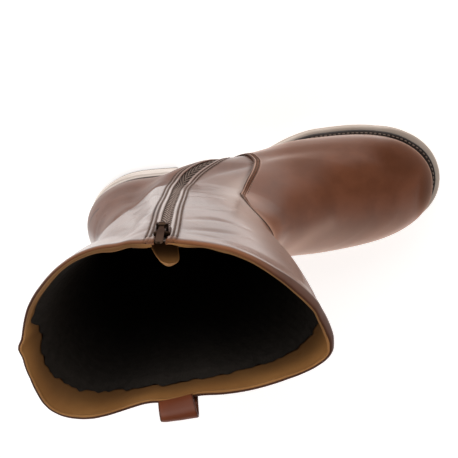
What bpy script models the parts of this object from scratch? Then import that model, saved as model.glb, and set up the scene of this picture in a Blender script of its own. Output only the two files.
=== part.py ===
"""Heeled zip boot for the right foot: a hollow upper shaped over a last, on a welted sole with a heel.

Axes: +X to the toe, +Y to the medial side with the zip, +Z up. The origin is on the floor,
under the middle of the boot's box. Sizes below are in millimetres, with x measured from the
back of the heel seat, and are scaled to metres when a mesh is made.
"""
import bmesh
import bpy
import numpy as np
from mathutils import Matrix

MILLIMETRE = 0.001
BOX_MIDDLE = np.array([136.14, 1.61, 0.0])
COLLECTION = "heeled_zip_boot"

# Leather and fit
CLEARANCE = 0.3
WALL = 2.4
OVERLAY = 1.2
COLUMNS_AROUND = 48
SHARP_DEG = 40.0

# The feather line, where upper, welt and sole meet
SEAT_HEIGHT = 40.0
BALL_HEIGHT = 12.0
TOE_HEIGHT = 20.0
SEAT_END_X = 55.0
BALL_X = 185.0
TOE_X = 285.0

# Sections of the upper, from the feather line (row 0) to the collar (last row).
# Each runs from a back point to a front point; heel, waist and ball are half widths there on the
# medial (m) and lateral (l) side, centre moves the section sideways and swing its front end.
SECTION_COLUMNS = ("back_x", "back_z", "front_x", "front_z", "heel_m", "heel_l",
                   "waist_m", "waist_l", "ball_m", "ball_l", "centre", "swing")
SECTIONS = np.array([
    (7.5, 40, 275.0, 20.0, 29.5, 28.5, 25.0, 33.0, 40.8, 40.2, 0.0, 3.2),
    (3.0, 48, 277.2, 29.0, 31.8, 31.0, 33.0, 36.5, 43.6, 43.3, 0.0, 3.2),
    (1.8, 56, 274.2, 39.0, 33.2, 32.5, 38.5, 38.5, 44.9, 43.9, 0.0, 3.2),
    (1.5, 64, 263.6, 49.0, 34.2, 33.0, 42.3, 38.5, 43.4, 41.5, 0.0, 2.5),
    (2.2, 72, 246.0, 56.5, 34.5, 33.0, 44.2, 38.0, 39.5, 39.0, 0.0, 2.0),
    (3.5, 80, 223.0, 64.0, 33.8, 33.0, 44.6, 37.0, 38.5, 36.0, 0.0, 1.0),
    (5.5, 88, 197.0, 74.0, 32.2, 33.0, 44.0, 36.0, 37.5, 34.5, 0.0, 0.0),
    (8.0, 97, 171.0, 88.0, 30.2, 33.5, 42.6, 36.0, 37.0, 34.0, 0.0, 0.0),
    (10.8, 108, 148.0, 104.0, 28.6, 34.0, 41.5, 36.0, 37.0, 34.0, -1.0, -1.0),
    (12.5, 122, 136.0, 124.0, 28.2, 35.0, 42.5, 36.5, 39.5, 34.5, -2.0, -2.0),
    (13.0, 140, 133.0, 150.0, 29.6, 36.0, 44.0, 37.0, 43.0, 35.0, -3.0, -3.0),
    (12.0, 165, 136.0, 182.0, 33.2, 37.0, 47.0, 36.5, 46.5, 34.0, -5.0, -4.0),
    (8.0, 197, 140.0, 217.0, 39.5, 37.5, 51.0, 35.0, 50.5, 31.0, -7.0, -5.0),
    (-2.0, 235, 141.5, 257.0, 49.0, 37.5, 55.0, 32.0, 54.5, 27.0, -9.5, -5.5),
    (-15.5, 274, 140.0, 296.0, 57.0, 36.8, 58.0, 27.8, 57.5, 22.5, -11.5, -5.5),
])
COLLAR = len(SECTIONS) - 1

# Where heel, waist and ball lie along a section, as shares of its length from the back,
# and how full its front and back ends are
STATION_COLUMNS = ("section", "heel_m", "waist_m", "ball_m", "heel_l", "waist_l", "ball_l",
                   "front_full", "back_full")
STATIONS = np.array([
    (0, 0.17, 0.43, 0.70, 0.17, 0.40, 0.68, 3.15, 2.4),
    (1.5, 0.17, 0.38, 0.62, 0.17, 0.40, 0.67, 3.20, 2.3),
    (5, 0.18, 0.39, 0.62, 0.18, 0.40, 0.65, 2.40, 2.2),
    (8, 0.20, 0.39, 0.54, 0.19, 0.40, 0.60, 1.35, 2.1),
    (11, 0.24, 0.38, 0.50, 0.19, 0.41, 0.60, 1.70, 2.0),
    (14, 0.33, 0.40, 0.47, 0.20, 0.42, 0.60, 1.70, 2.1),
])

# How far a section follows the feather line's dip at the arch, by section
FOLLOW = np.array([(0, 1.0), (1, 0.95), (2, 0.8), (3, 0.6), (4, 0.4), (5, 0.2), (6, 0.1), (7, 0.0)])
SWING_START = 0.35

# Rows of the upper's mesh, closer together where the foot curves most
UPPER_ROWS = np.concatenate([np.arange(0.0, 1.8, 0.45), np.arange(1.8, 9.9, 0.6),
                             np.linspace(10.2, COLLAR, 7)])

# Vamp: the front panel laid over the upper, as a side outline (x, z) from throat to sole
VAMP_SEAM = np.array([(137.0, 134), (128, 129), (120, 121), (115, 112), (119, 101), (126.5, 86), (130.5, 71),
                      (129.5, 62), (123, 51), (112, 42)])
VAMP_CUT_X = 320.0
VAMP_CUT_Z = -20.0
CUT_FAR_Y = 90.0
SLOT_NEAR_Y = 12.0
VAMP_ROWS = UPPER_ROWS[1:18]
VAMP_HALF_COLUMNS = 15

# Welt and sole edge: how wide the welt shows, and the sole's ledge beyond it, along the foot
WELT_THICKNESS = 2.4
WELT_INNER_ROW = 0.45
WELT_GAP = 0.5
WELT_SLOPE = 0.4
EDGE_COLUMNS = ("share", "welt", "ledge")
EDGE = np.array([(0.0, 1.3, 1.4), (0.25, 1.3, 1.4), (0.42, 1.0, 0.8), (0.52, 1.6, 1.4), (0.68, 3.5, 1.9),
                 (0.86, 3.9, 2.5), (0.95, 5.2, 3.9), (1.0, 7.6, 3.4)])
SOLE_BOTTOM_EDGE = ((2.2, 0.0), (0.6, 0.8), (0.0, 2.4))
SOLE_TOP_EDGE = ((0.0, 1.6), (0.5, 0.5), (1.5, 0.0))
SOLE_FLAT_X = (170.0, 224.0)
SOLE_TIP_X = 287.0
TOE_SPRING = 8.0
HEEL_HEIGHT = 29.0
ARCH_START_X = 80.0
HEEL_BREAST_X = 74.0
HEEL_TAPER = 3.0
HEEL_STEP = 1.0
TOP_LIFT = 6.0
TOP_LIFT_EDGE = 0.8
HEEL_COLUMNS = 120
INSOLE_THICKNESS = 3.0
INSOLE_EDGE = 0.8

# Zip: its middle line seen from the side (x, z), from the arch to the collar
ZIP_LINE = np.array([(110.0, 56), (103.5, 64.5), (97.5, 73), (91, 80.5), (84, 90), (78, 101), (74.3, 114),
                     (72, 132), (69.6, 162), (65.8, 210), (63.8, 242), (62.2, 266), (60.2, 288)])
ZIP_SLOT_HALF = 4.2
ZIP_COIL_HALF = 2.8
ZIP_TAPE_HALF = 6.5
ZIP_TAPE_THICKNESS = 0.8
ZIP_TAPE_DEPTH = WALL + 1.5
ZIP_FOOT_GAP = 2.0
ZIP_END_GAP = 1.0
ZIP_SAMPLES = 24
GUARD_LENGTH = 110.0
GUARD_THICKNESS = 1.2
GUARD_HALF = 8.0
GUARD_TIP_HALF = 2.6
GUARD_TIP_DEPTH = 12.5
GUARD_TIP_SHIFT = 4.5
GUARD_BEND_LENGTH = 20.0

# Zip slider and its pull tab
SLIDER_HEIGHT = 272.0
SLIDER_SIZE = (8.4, 11.0, 2.3)
SLIDER_EDGE = 0.7
LUG_SIZE = (1.1, 3.4, 4.4)
LUG_SPACING = 4.9
PIN_RADIUS = 0.7
PIN_STAND = 4.6
TAB_LENGTH = 22.0
TAB_ROOT_WIDTH = 2.4
TAB_END_WIDTH = 3.6
TAB_SHOULDER = (4.0, 8.0)
TAB_CORNER = 1.1
TAB_THICKNESS = 1.2
BARREL_WIDTH = 3.2
BARREL_RADIUS = 1.7
BARREL_BORE = 1.05
TAB_LEAN_DEG = 8.0

# Pull loop on the lateral collar: its middle line as (out, up) from the rim
LOOP_X = 59.5
LOOP_WIDTH = 18.0
LOOP_THICKNESS = 1.8
LOOP_SKEW = 3.0
LOOP_LINE = np.array([(-1.2, 1.4), (0.4, 5.0), (3.0, 8.8), (5.6, 10.2), (7.3, 8.6), (6.8, 4.4),
                      (4.6, -1.0), (2.6, -6.5), (1.6, -12.0), (1.5, -24.0)])
LOOP_ACROSS = 5


def smooth(share):
    """Ease from 0 to 1 with flat ends."""
    share = np.clip(share, 0.0, 1.0)
    return share * share * (3.0 - 2.0 * share)


def spline(table, place):
    """Point of a smooth curve through the rows of a table; place counts rows."""
    last = len(table) - 1
    index = int(np.clip(np.floor(place), 0, last - 1))
    f = place - index
    a = table[index - 1] if index > 0 else 2 * table[0] - table[1]
    b = table[index]
    c = table[index + 1]
    d = table[index + 2] if index + 2 <= last else 2 * table[last] - table[last - 1]
    return 0.5 * (2 * b + (c - a) * f + (2 * a - 5 * b + 4 * c - d) * f**2 + (3 * b - a - 3 * c + d) * f**3)


def feather_height(x):
    """Height of the feather line: level at the seat, down to the ball, up again at the toe."""
    fall = (BALL_HEIGHT - SEAT_HEIGHT) * smooth((x - SEAT_END_X) / (BALL_X - SEAT_END_X))
    toe = (TOE_HEIGHT - BALL_HEIGHT) * np.clip((x - BALL_X) / (TOE_X - BALL_X), 0.0, 1.2) ** 2
    return SEAT_HEIGHT + fall + toe


def half_width(share, widths, places, front_full, back_full):
    """Half width along a section: eased between heel, waist and ball, rounded off at both ends."""
    heel, waist, ball = widths
    heel_at, waist_at, ball_at = places
    behind = heel + (waist - heel) * smooth((share - heel_at) / (waist_at - heel_at))
    ahead = waist + (ball - waist) * smooth((share - waist_at) / (ball_at - waist_at))
    to_front = np.clip((share - ball_at) / (1 - ball_at), 0.0, 1.0)
    to_back = np.clip((heel_at - share) / heel_at, 0.0, 1.0)
    ends = np.sqrt(1 - to_front**front_full) * np.sqrt(1 - to_back**back_full)
    return np.where(share < waist_at, behind, ahead) * ends


def section_loop(values, v, u):
    """Points of one section at angles u: 0 at the front, a quarter turn medial, a half turn back."""
    size = dict(zip(SECTION_COLUMNS, values))
    station = {name: np.interp(v, STATIONS[:, 0], STATIONS[:, k]) for k, name in enumerate(STATION_COLUMNS)}
    share = (1 + np.cos(u)) / 2
    sides = {}
    for side in "ml":
        widths = [size[name + "_" + side] for name in ("heel", "waist", "ball")]
        places = [station[name + "_" + side] for name in ("heel", "waist", "ball")]
        sides[side] = half_width(share, widths, places, station["front_full"], station["back_full"])
    x = size["back_x"] + (size["front_x"] - size["back_x"]) * share
    y = np.where(np.sin(u) >= 0, sides["m"], -sides["l"]) + size["centre"]
    y = y + size["swing"] * smooth((share - SWING_START) / (1 - SWING_START))
    chord = size["back_z"] + (size["front_z"] - size["back_z"]) * share
    back_dip = feather_height(size["back_x"])
    dip = feather_height(x) - back_dip - (feather_height(size["front_x"]) - back_dip) * share
    z = chord + np.interp(v, FOLLOW[:, 0], FOLLOW[:, 1]) * dip
    return np.stack([x, y, z], axis=-1)


def wall(v, u):
    """Outer surface of the upper at section v and angles u."""
    return section_loop(spline(SECTIONS, v), v, np.asarray(u, float))


def wall_normal(v, u, step=0.002):
    """Outward normal of the upper's surface, from small steps along and across it."""
    u = np.asarray(u, float)
    along = wall(v, u + step) - wall(v, u - step)
    up = wall(v + step, u) - wall(v - step, u)
    normal = np.cross(along, up)
    return normal / np.linalg.norm(normal, axis=-1, keepdims=True)


def side_place(x, z, side):
    """Section and angle of the upper at (x, z) of the side view; side is 1 medial, -1 lateral."""
    low, high = 0.0, float(COLLAR)
    for _ in range(40):
        v = (low + high) / 2
        back, front = spline(SECTIONS, v)[[0, 2]]
        share = np.clip((x - back) / (front - back), 0.001, 0.999)
        u = side * np.arccos(2 * share - 1)
        if wall(v, u)[2] < z:
            low = v
        else:
            high = v
    return v, u


def side_frame(x, z, side):
    """Point and outward normal of the upper at (x, z) of the side view."""
    v, u = side_place(x, z, side)
    return wall(v, u), wall_normal(v, u)


def turn_angles(count=COLUMNS_AROUND):
    """Angles once around a section."""
    return np.arange(count) * (2 * np.pi / count)


def inset(plan, distance):
    """Plan outline moved inwards along its own normals, by one distance or one for each point."""
    along = np.roll(plan, -1, axis=0) - np.roll(plan, 1, axis=0)
    normal = np.stack([along[:, 1], -along[:, 0]], axis=-1)
    normal = normal / np.linalg.norm(normal, axis=1, keepdims=True)
    return plan - np.reshape(distance, (-1, 1)) * normal


def edge_width(name, u):
    """Width of the welt or the ledge at angles u."""
    return np.interp((1 + np.cos(u)) / 2, EDGE[:, 0], EDGE[:, EDGE_COLUMNS.index(name)])


def welt_plan(u):
    """Outer outline of the welt, from above."""
    return inset(wall(WELT_INNER_ROW, u)[:, :2], -WELT_GAP - edge_width("welt", u))


def sole_plan(u):
    """Outline of the sole, from above."""
    return inset(welt_plan(u), -edge_width("ledge", u))


def at_height(plan, z):
    """Plan points lifted to a height, one number or one for each point."""
    return np.column_stack([plan, np.broadcast_to(z, len(plan))])


def sole_bottom(x):
    """Underside of the sole: level heel seat, arch, flat tread and toe spring."""
    arch = 1 - smooth((x - ARCH_START_X) / (SOLE_FLAT_X[0] - ARCH_START_X))
    spring = np.clip((x - SOLE_FLAT_X[1]) / (SOLE_TIP_X - SOLE_FLAT_X[1]), 0.0, 1.1) ** 2
    return HEEL_HEIGHT * arch + TOE_SPRING * spring


def tube_faces(rows, columns, closed=True):
    """Triangles between neighbouring rows of points, split the same way on every layer."""
    turns = columns if closed else columns - 1
    faces = []
    for r in range(rows - 1):
        for c in range(turns):
            d = (c + 1) % columns
            low, low_next = r * columns + c, r * columns + d
            faces += [(low, low_next, low_next + columns), (low, low_next + columns, low + columns)]
    return faces


def strip_cap(columns, first):
    """Faces across a closed row, joining each medial point to the lateral one at the same place."""
    faces = []
    for c in range(columns // 2):
        corners = (c, c + 1, (columns - c - 1) % columns, (columns - c) % columns)
        faces.append(tuple(dict.fromkeys(first + k for k in corners)))
    return faces


def material(name, colour, roughness, metallic=0.0):
    """Principled material with a plain colour."""
    made = bpy.data.materials.new(name)
    made.use_nodes = True
    shader = made.node_tree.nodes["Principled BSDF"]
    shader.inputs["Base Color"].default_value = (*colour, 1.0)
    shader.inputs["Roughness"].default_value = roughness
    shader.inputs["Metallic"].default_value = metallic
    return made


def place(obj, collection, finish=None):
    """Put an object in a collection and give it its material."""
    bpy.data.collections[collection].objects.link(obj)
    if finish is not None:
        obj.data.materials.append(finish)
    if collection == "cutters":
        obj.hide_render = True
        obj.display_type = "WIRE"
    return obj


def to_metres(points):
    """Boot millimetres to metres from the origin."""
    return (np.asarray(points) - BOX_MIDDLE) * MILLIMETRE


def make(name, points, faces, finish=None, collection=COLLECTION, closed=True):
    """Mesh object from boot points in millimetres and faces."""
    mesh = bpy.data.meshes.new(name)
    mesh.from_pydata(to_metres(points).tolist(), [], faces)
    if closed:
        body = bmesh.new()
        body.from_mesh(mesh)
        bmesh.ops.recalc_face_normals(body, faces=body.faces)
        body.to_mesh(mesh)
        body.free()
    mesh.shade_smooth()
    mesh.set_sharp_from_angle(angle=np.radians(SHARP_DEG))
    return place(bpy.data.objects.new(name, mesh), collection, finish)


def boolean(obj, other, operation):
    """Cut or join with another object."""
    step = obj.modifiers.new(operation.lower() + "_" + other.name, "BOOLEAN")
    step.operation = operation
    step.object = other
    step.solver = "EXACT"


def thicken(obj, thickness, offset):
    """Give an open surface its thickness: offset -1 grows it inwards, 1 outwards."""
    step = obj.modifiers.new("thickness", "SOLIDIFY")
    step.thickness = thickness * MILLIMETRE
    step.offset = offset
    step.use_even_offset = True


def ring_body(name, rings, finish):
    """Closed body from stacked closed rings, capped across at the first and last."""
    columns = len(rings[0])
    faces = tube_faces(len(rings), columns)
    faces += [tuple(reversed(face)) for face in strip_cap(columns, 0)]
    faces += strip_cap(columns, columns * (len(rings) - 1))
    return make(name, np.concatenate(rings), faces, finish)


def zip_places(first_z, count):
    """Side-view places along the zip from a height up to the rim, and the direction across it."""
    line = np.array([spline(ZIP_LINE, k) for k in np.linspace(0, len(ZIP_LINE) - 1, 400)])
    rim = side_frame(*ZIP_LINE[-1], 1)[0][2]
    line = line[(line[:, 1] >= first_z) & (line[:, 1] <= rim - ZIP_END_GAP)]
    length = np.concatenate([[0], np.cumsum(np.linalg.norm(np.diff(line, axis=0), axis=1))])
    picks = np.linspace(0, length[-1], count)
    middle = np.stack([np.interp(picks, length, line[:, k]) for k in (0, 1)], axis=-1)
    along = np.gradient(middle, axis=0)
    along = along / np.linalg.norm(along, axis=1, keepdims=True)
    return middle, np.stack([along[:, 1], -along[:, 0]], axis=-1)


def zip_strip(name, first_z, profiles, finish):
    """Closed body along the zip: each profile holds places across it and depths from the wall."""
    middle, across = zip_places(first_z, len(profiles))
    points = []
    for here, forward, profile in zip(middle, across, profiles):
        for aside, depth in profile:
            point, normal = side_frame(*(here + aside * forward), 1)
            points.append(point + normal * depth)
    columns = len(profiles[0])
    faces = tube_faces(len(profiles), columns)
    last = columns * (len(profiles) - 1)
    faces += [tuple(range(columns)), tuple(range(last, last + columns))]
    return make(name, points, faces, finish)


def slot_cutter():
    """Ribbon along the zip, wide enough for its slot, through the medial wall."""
    line = np.array([spline(ZIP_LINE, k) for k in np.linspace(0, len(ZIP_LINE) - 1, 28)])
    line = np.vstack([line, line[-1] + (line[-1] - line[-2]) * 3])
    along = np.gradient(line, axis=0)
    along = along / np.linalg.norm(along, axis=1, keepdims=True)
    side = np.stack([along[:, 1], -along[:, 0]], axis=-1) * ZIP_SLOT_HALF
    rings = []
    for middle, reach in zip(line, side):
        front, back = middle + reach, middle - reach
        rings.append([(front[0], SLOT_NEAR_Y, front[1]), (front[0], CUT_FAR_Y, front[1]),
                      (back[0], CUT_FAR_Y, back[1]), (back[0], SLOT_NEAR_Y, back[1])])
    faces = tube_faces(len(rings), 4)
    last = 4 * (len(rings) - 1)
    faces += [(0, 1, 2, 3), (last, last + 1, last + 2, last + 3)]
    return make("slot_cutter", np.concatenate(rings), faces, collection="cutters")


def upper():
    """Hollow leather upper: the sections lofted and given a wall, slit for the zip."""
    u = turn_angles()
    points = np.concatenate([wall(v, u) for v in UPPER_ROWS])
    leather = material("upper_leather", (0.16, 0.065, 0.032), 0.4)
    made = make("upper", points, tube_faces(len(UPPER_ROWS), len(u)), leather, closed=False)
    thicken(made, WALL, -1)
    boolean(made, slot_cutter(), "DIFFERENCE")


def vamp_cutter():
    """Block whose back face is the vamp's seam, seen from the side."""
    seam = [tuple(spline(VAMP_SEAM, k)) for k in np.linspace(0, len(VAMP_SEAM) - 1, 33)]
    side = seam + [(seam[-1][0], VAMP_CUT_Z), (VAMP_CUT_X, VAMP_CUT_Z), (VAMP_CUT_X, seam[0][1])]
    points = [(x, y, z) for y in (-CUT_FAR_Y, CUT_FAR_Y) for x, z in side]
    count = len(side)
    faces = tube_faces(2, count)
    faces += [tuple(range(count)), tuple(range(count, 2 * count))]
    return make("vamp_cutter", points, faces, collection="cutters")


def vamp():
    """Front panel: a layer over the upper's own surface, cut along its seam."""
    turn = 2 * np.pi / COLUMNS_AROUND
    u = np.arange(-VAMP_HALF_COLUMNS, VAMP_HALF_COLUMNS + 1) * turn
    points = np.concatenate([wall(v, u) + CLEARANCE * wall_normal(v, u) for v in VAMP_ROWS])
    leather = material("vamp_leather", (0.125, 0.047, 0.024), 0.35)
    made = make("vamp", points, tube_faces(len(VAMP_ROWS), len(u), closed=False), leather, closed=False)
    thicken(made, OVERLAY, 1)
    boolean(made, vamp_cutter(), "INTERSECT")


def welt():
    """Leather strip around the foot of the upper, on the sole."""
    u = turn_angles()
    low = wall(0.0, u)
    high = wall(WELT_INNER_ROW, u)
    outer = welt_plan(u)
    base = feather_height(outer[:, 0])
    inner = feather_height(low[:, 0])
    rings = [at_height(inset(low[:, :2], -WELT_GAP), inner), at_height(outer, base),
             at_height(inset(outer, WELT_SLOPE), base + WELT_THICKNESS),
             at_height(inset(high[:, :2], -WELT_GAP), inner + WELT_THICKNESS)]
    count = len(u)
    faces = tube_faces(len(rings), count)
    last = count * (len(rings) - 1)
    faces += [(last + c, last + (c + 1) % count, (c + 1) % count, c) for c in range(count)]
    make("welt", np.concatenate(rings), faces, material("welt_leather", (0.045, 0.027, 0.021), 0.5))


def sole():
    """Outsole with its arch and toe spring, edges rounded off."""
    u = turn_angles()
    edge = sole_plan(u)
    bottom = sole_bottom(edge[:, 0])
    top = feather_height(edge[:, 0]) - CLEARANCE
    rings = [at_height(inset(edge, into), bottom + up) for into, up in SOLE_BOTTOM_EDGE]
    rings += [at_height(inset(edge, into), top - down) for into, down in SOLE_TOP_EDGE]
    ring_body("sole", rings, material("sole_rubber", (0.38, 0.32, 0.28), 0.7))


def heel_plan(shrink):
    """Heel outline: the sole's own behind the breast, drawn in by a taper."""
    plan = inset(sole_plan(turn_angles(HEEL_COLUMNS)), HEEL_STEP + shrink)
    return plan[plan[:, 0] < HEEL_BREAST_X]


def heel_body(name, levels, finish):
    """Closed body through heel levels, each a taper and a height, with flat ends."""
    rings = [at_height(heel_plan(shrink), z) for shrink, z in levels]
    count = min(len(ring) for ring in rings)
    rings = [ring[(len(ring) - count) // 2:][:count] for ring in rings]
    faces = tube_faces(len(rings), count)
    last = count * (len(rings) - 1)
    faces += [tuple(range(count)), tuple(range(last, last + count))]
    make(name, np.concatenate(rings), faces, finish)


def heel():
    """Heel block under the seat, and the top lift that it stands on."""
    lift_top = HEEL_TAPER * (1 - TOP_LIFT / HEEL_HEIGHT)
    heel_body("heel", [(lift_top, TOP_LIFT + CLEARANCE), (0.0, HEEL_HEIGHT - CLEARANCE)],
              material("heel_stack", (0.36, 0.30, 0.26), 0.6))
    levels = [(HEEL_TAPER + TOP_LIFT_EDGE, 0.0), (HEEL_TAPER, TOP_LIFT_EDGE), (lift_top, TOP_LIFT)]
    heel_body("top_lift", levels, material("top_lift_rubber", (0.05, 0.04, 0.035), 0.8))


def insole():
    """Insole inside the upper, on the sole."""
    u = turn_angles()
    plan = inset(wall(0.0, u)[:, :2], WALL + 2 * CLEARANCE)
    base = feather_height(plan[:, 0])
    rings = [at_height(plan, base), at_height(plan, base + INSOLE_THICKNESS - INSOLE_EDGE),
             at_height(inset(plan, INSOLE_EDGE), base + INSOLE_THICKNESS)]
    ring_body("insole", rings, material("insole_cover", (0.02, 0.016, 0.013), 0.9))


def zip_tape():
    """Zip strip: the tape behind the wall and the closed coil standing in the slot."""
    low = -ZIP_TAPE_DEPTH - ZIP_TAPE_THICKNESS
    profile = [(-ZIP_TAPE_HALF, low), (0, low), (ZIP_TAPE_HALF, low), (ZIP_TAPE_HALF, -ZIP_TAPE_DEPTH),
               (ZIP_COIL_HALF, -ZIP_TAPE_DEPTH), (ZIP_COIL_HALF, 0), (-ZIP_COIL_HALF, 0),
               (-ZIP_COIL_HALF, -ZIP_TAPE_DEPTH), (-ZIP_TAPE_HALF, -ZIP_TAPE_DEPTH)]
    cloth = material("zip_cloth", (0.14, 0.11, 0.095), 0.8)
    zip_strip("zip_tape", ZIP_LINE[0][1] + ZIP_FOOT_GAP, [profile] * ZIP_SAMPLES, cloth)


def zip_guard():
    """Leather guard behind the zip, its free end bent into the mouth."""
    to_top = np.linspace(GUARD_LENGTH, 0, ZIP_SAMPLES)
    depth = ZIP_TAPE_DEPTH + ZIP_TAPE_THICKNESS + 2 * CLEARANCE
    profiles = []
    for left in to_top:
        bend = smooth(1 - left / GUARD_BEND_LENGTH)
        half = GUARD_HALF + (GUARD_TIP_HALF - GUARD_HALF) * bend**2
        face = -depth - (GUARD_TIP_DEPTH - depth) * bend
        low = face - GUARD_THICKNESS
        middle = GUARD_TIP_SHIFT * bend
        front, back = middle + half, middle - half
        profiles.append([(back, low), (middle, low), (front, low), (front, face), (middle, face), (back, face)])
    leather = material("guard_leather", (0.13, 0.07, 0.025), 0.6)
    zip_strip("zip_guard", ZIP_LINE[-1][1] - GUARD_LENGTH, profiles, leather)


def slider_matrix():
    """Frame of the slider on the zip, in metres: backward, up the zip, outward."""
    middle, across = zip_places(SLIDER_HEIGHT, 9)
    point, normal = side_frame(*middle[0], 1)
    backward = np.array([-across[0][0], 0.0, -across[0][1]])
    backward = backward - normal * (backward @ normal)
    backward = backward / np.linalg.norm(backward)
    matrix = Matrix(np.column_stack([backward, np.cross(normal, backward), normal]).tolist()).to_4x4()
    matrix.translation = to_metres(point)
    return matrix


def block(name, size, middle, frame, collection, finish=None):
    """Box of a size in millimetres with its middle in a frame."""
    mesh = bpy.data.meshes.new(name)
    body = bmesh.new()
    bmesh.ops.create_cube(body, size=1.0)
    bmesh.ops.scale(body, vec=np.array(size) * MILLIMETRE, verts=body.verts)
    bmesh.ops.translate(body, vec=np.array(middle) * MILLIMETRE, verts=body.verts)
    body.to_mesh(mesh)
    body.free()
    made = place(bpy.data.objects.new(name, mesh), collection, finish)
    made.matrix_world = frame
    return made


def rod(name, radius, length, frame, collection):
    """Cylinder along the frame's first axis."""
    mesh = bpy.data.meshes.new(name)
    body = bmesh.new()
    bmesh.ops.create_cone(body, cap_ends=True, segments=20, radius1=radius * MILLIMETRE,
                          radius2=radius * MILLIMETRE, depth=length * MILLIMETRE)
    bmesh.ops.rotate(body, matrix=Matrix.Rotation(np.pi / 2, 3, "Y"), verts=body.verts)
    body.to_mesh(mesh)
    body.free()
    made = place(bpy.data.objects.new(name, mesh), collection)
    made.matrix_world = frame
    return made


def slider():
    """Zip slider: a body over the coil, two lugs and the pin that carries the tab."""
    frame = slider_matrix()
    stand = CLEARANCE + SLIDER_SIZE[2] / 2
    steel = material("slider_metal", (0.25, 0.2, 0.16), 0.35, 1.0)
    made = block("zip_slider", SLIDER_SIZE, (0, 0, stand), frame, COLLECTION, steel)
    edge = made.modifiers.new("edges", "BEVEL")
    edge.width = SLIDER_EDGE * MILLIMETRE
    edge.segments = 2
    lug_middle = stand + LUG_SIZE[2] / 2
    for side in (-1, 1):
        name = "lug_front" if side > 0 else "lug_back"
        lug = block(name, LUG_SIZE, (side * LUG_SPACING / 2, 0, lug_middle), frame, "cutters")
        boolean(made, lug, "UNION")
    pin_frame = frame @ Matrix.Translation((0, 0, PIN_STAND * MILLIMETRE))
    boolean(made, rod("pin", PIN_RADIUS, LUG_SPACING + LUG_SIZE[0] / 2, pin_frame, "cutters"), "UNION")


def pull_tab():
    """Pull tab on the slider's pin, turned up and leaning in over the collar."""
    lean = Matrix.Rotation(np.radians(-TAB_LEAN_DEG), 4, "X")
    hinge = slider_matrix() @ Matrix.Translation((0, 0, PIN_STAND * MILLIMETRE)) @ lean
    root, tip = TAB_ROOT_WIDTH / 2, TAB_END_WIDTH / 2
    half = [(root, TAB_THICKNESS / 2), (root, TAB_SHOULDER[0]), (tip, TAB_SHOULDER[1]),
            (tip, TAB_LENGTH - TAB_CORNER), (tip - TAB_CORNER, TAB_LENGTH)]
    plan = half + [(-x, y) for x, y in reversed(half)]
    mesh = bpy.data.meshes.new("zip_pull")
    body = bmesh.new()
    thick = TAB_THICKNESS / 2
    corners = [body.verts.new((x * MILLIMETRE, y * MILLIMETRE, -thick * MILLIMETRE)) for x, y in plan]
    sheet = body.faces.new(corners)
    raised = bmesh.ops.extrude_face_region(body, geom=[sheet])
    moved = [item for item in raised["geom"] if isinstance(item, bmesh.types.BMVert)]
    bmesh.ops.translate(body, vec=(0, 0, TAB_THICKNESS * MILLIMETRE), verts=moved)
    bmesh.ops.recalc_face_normals(body, faces=body.faces)
    body.to_mesh(mesh)
    body.free()
    made = place(bpy.data.objects.new("zip_pull", mesh), COLLECTION,
                 material("pull_metal", (0.22, 0.17, 0.13), 0.4, 1.0))
    made.matrix_world = hinge
    boolean(made, rod("barrel", BARREL_RADIUS, BARREL_WIDTH, hinge, "cutters"), "UNION")
    boolean(made, rod("bore", BARREL_BORE, BARREL_WIDTH + 2, hinge, "cutters"), "DIFFERENCE")


def loop_point(x, out, up):
    """Point beside the lateral collar: out from the wall, up from the rim."""
    back, front = SECTIONS[COLLAR][[0, 2]]
    u = -np.arccos(2 * (x - back) / (front - back) - 1)
    rim = wall(COLLAR, u)
    if up >= 0:
        return rim + wall_normal(COLLAR, u) * np.array([1, 1, 0]) * out + np.array([0, 0, up])
    point, normal = side_frame(x, rim[2] + up, -1)
    return point + normal * out


def pull_loop():
    """Leather loop: a strap from the rim, folded over and sewn down outside the collar."""
    count = len(LOOP_LINE)
    places = np.linspace(0, count - 1, 2 * count - 1)
    line = np.array([spline(LOOP_LINE, k) for k in places])
    along = np.gradient(line, axis=0)
    normal = np.stack([-along[:, 1], along[:, 0]], axis=-1)
    normal = normal / np.linalg.norm(normal, axis=1, keepdims=True) * LOOP_THICKNESS / 2
    section = np.concatenate([line + normal, (line - normal)[::-1]])
    skew = LOOP_SKEW * smooth(np.linspace(0, 1, len(line)))
    skew = np.concatenate([skew, skew[::-1]])
    stations = np.linspace(-LOOP_WIDTH / 2, LOOP_WIDTH / 2, LOOP_ACROSS)
    points = [loop_point(LOOP_X + a + s, out, up) for a in stations for s, (out, up) in zip(skew, section)]
    columns = len(section)
    faces = tube_faces(LOOP_ACROSS, columns)
    for first in (0, columns * (LOOP_ACROSS - 1)):
        for k in range(len(line) - 1):
            faces.append((first + k, first + k + 1, first + columns - k - 2, first + columns - k - 1))
    make("pull_loop", points, faces, material("loop_leather", (0.11, 0.035, 0.017), 0.45))


def build():
    """Empty the scene and make every piece."""
    for obj in list(bpy.data.objects):
        bpy.data.objects.remove(obj)
    for name in (COLLECTION, "cutters"):
        group = bpy.data.collections.new(name)
        bpy.context.scene.collection.children.link(group)
    for piece in (upper, vamp, welt, sole, heel, insole, zip_tape, zip_guard, slider, pull_tab, pull_loop):
        piece()
    bpy.context.view_layer.update()


build()
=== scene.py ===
"""Looks of a heeled zip boot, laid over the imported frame.

The boot's skin is one function of two parameters: v counts sections from the feather line (0) up to
the collar, u is the angle around a section, 0 at the front, a quarter turn medial, a half turn back.
Panels, lips, lining and zip are grids on that skin at small depths from it, and threads are short
rods along lines drawn on it. Sizes are millimetres, x from the back of the heel seat, until a mesh
is made.
"""

import bmesh
import bpy
import numpy as np
from mathutils import Matrix, Vector


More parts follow.
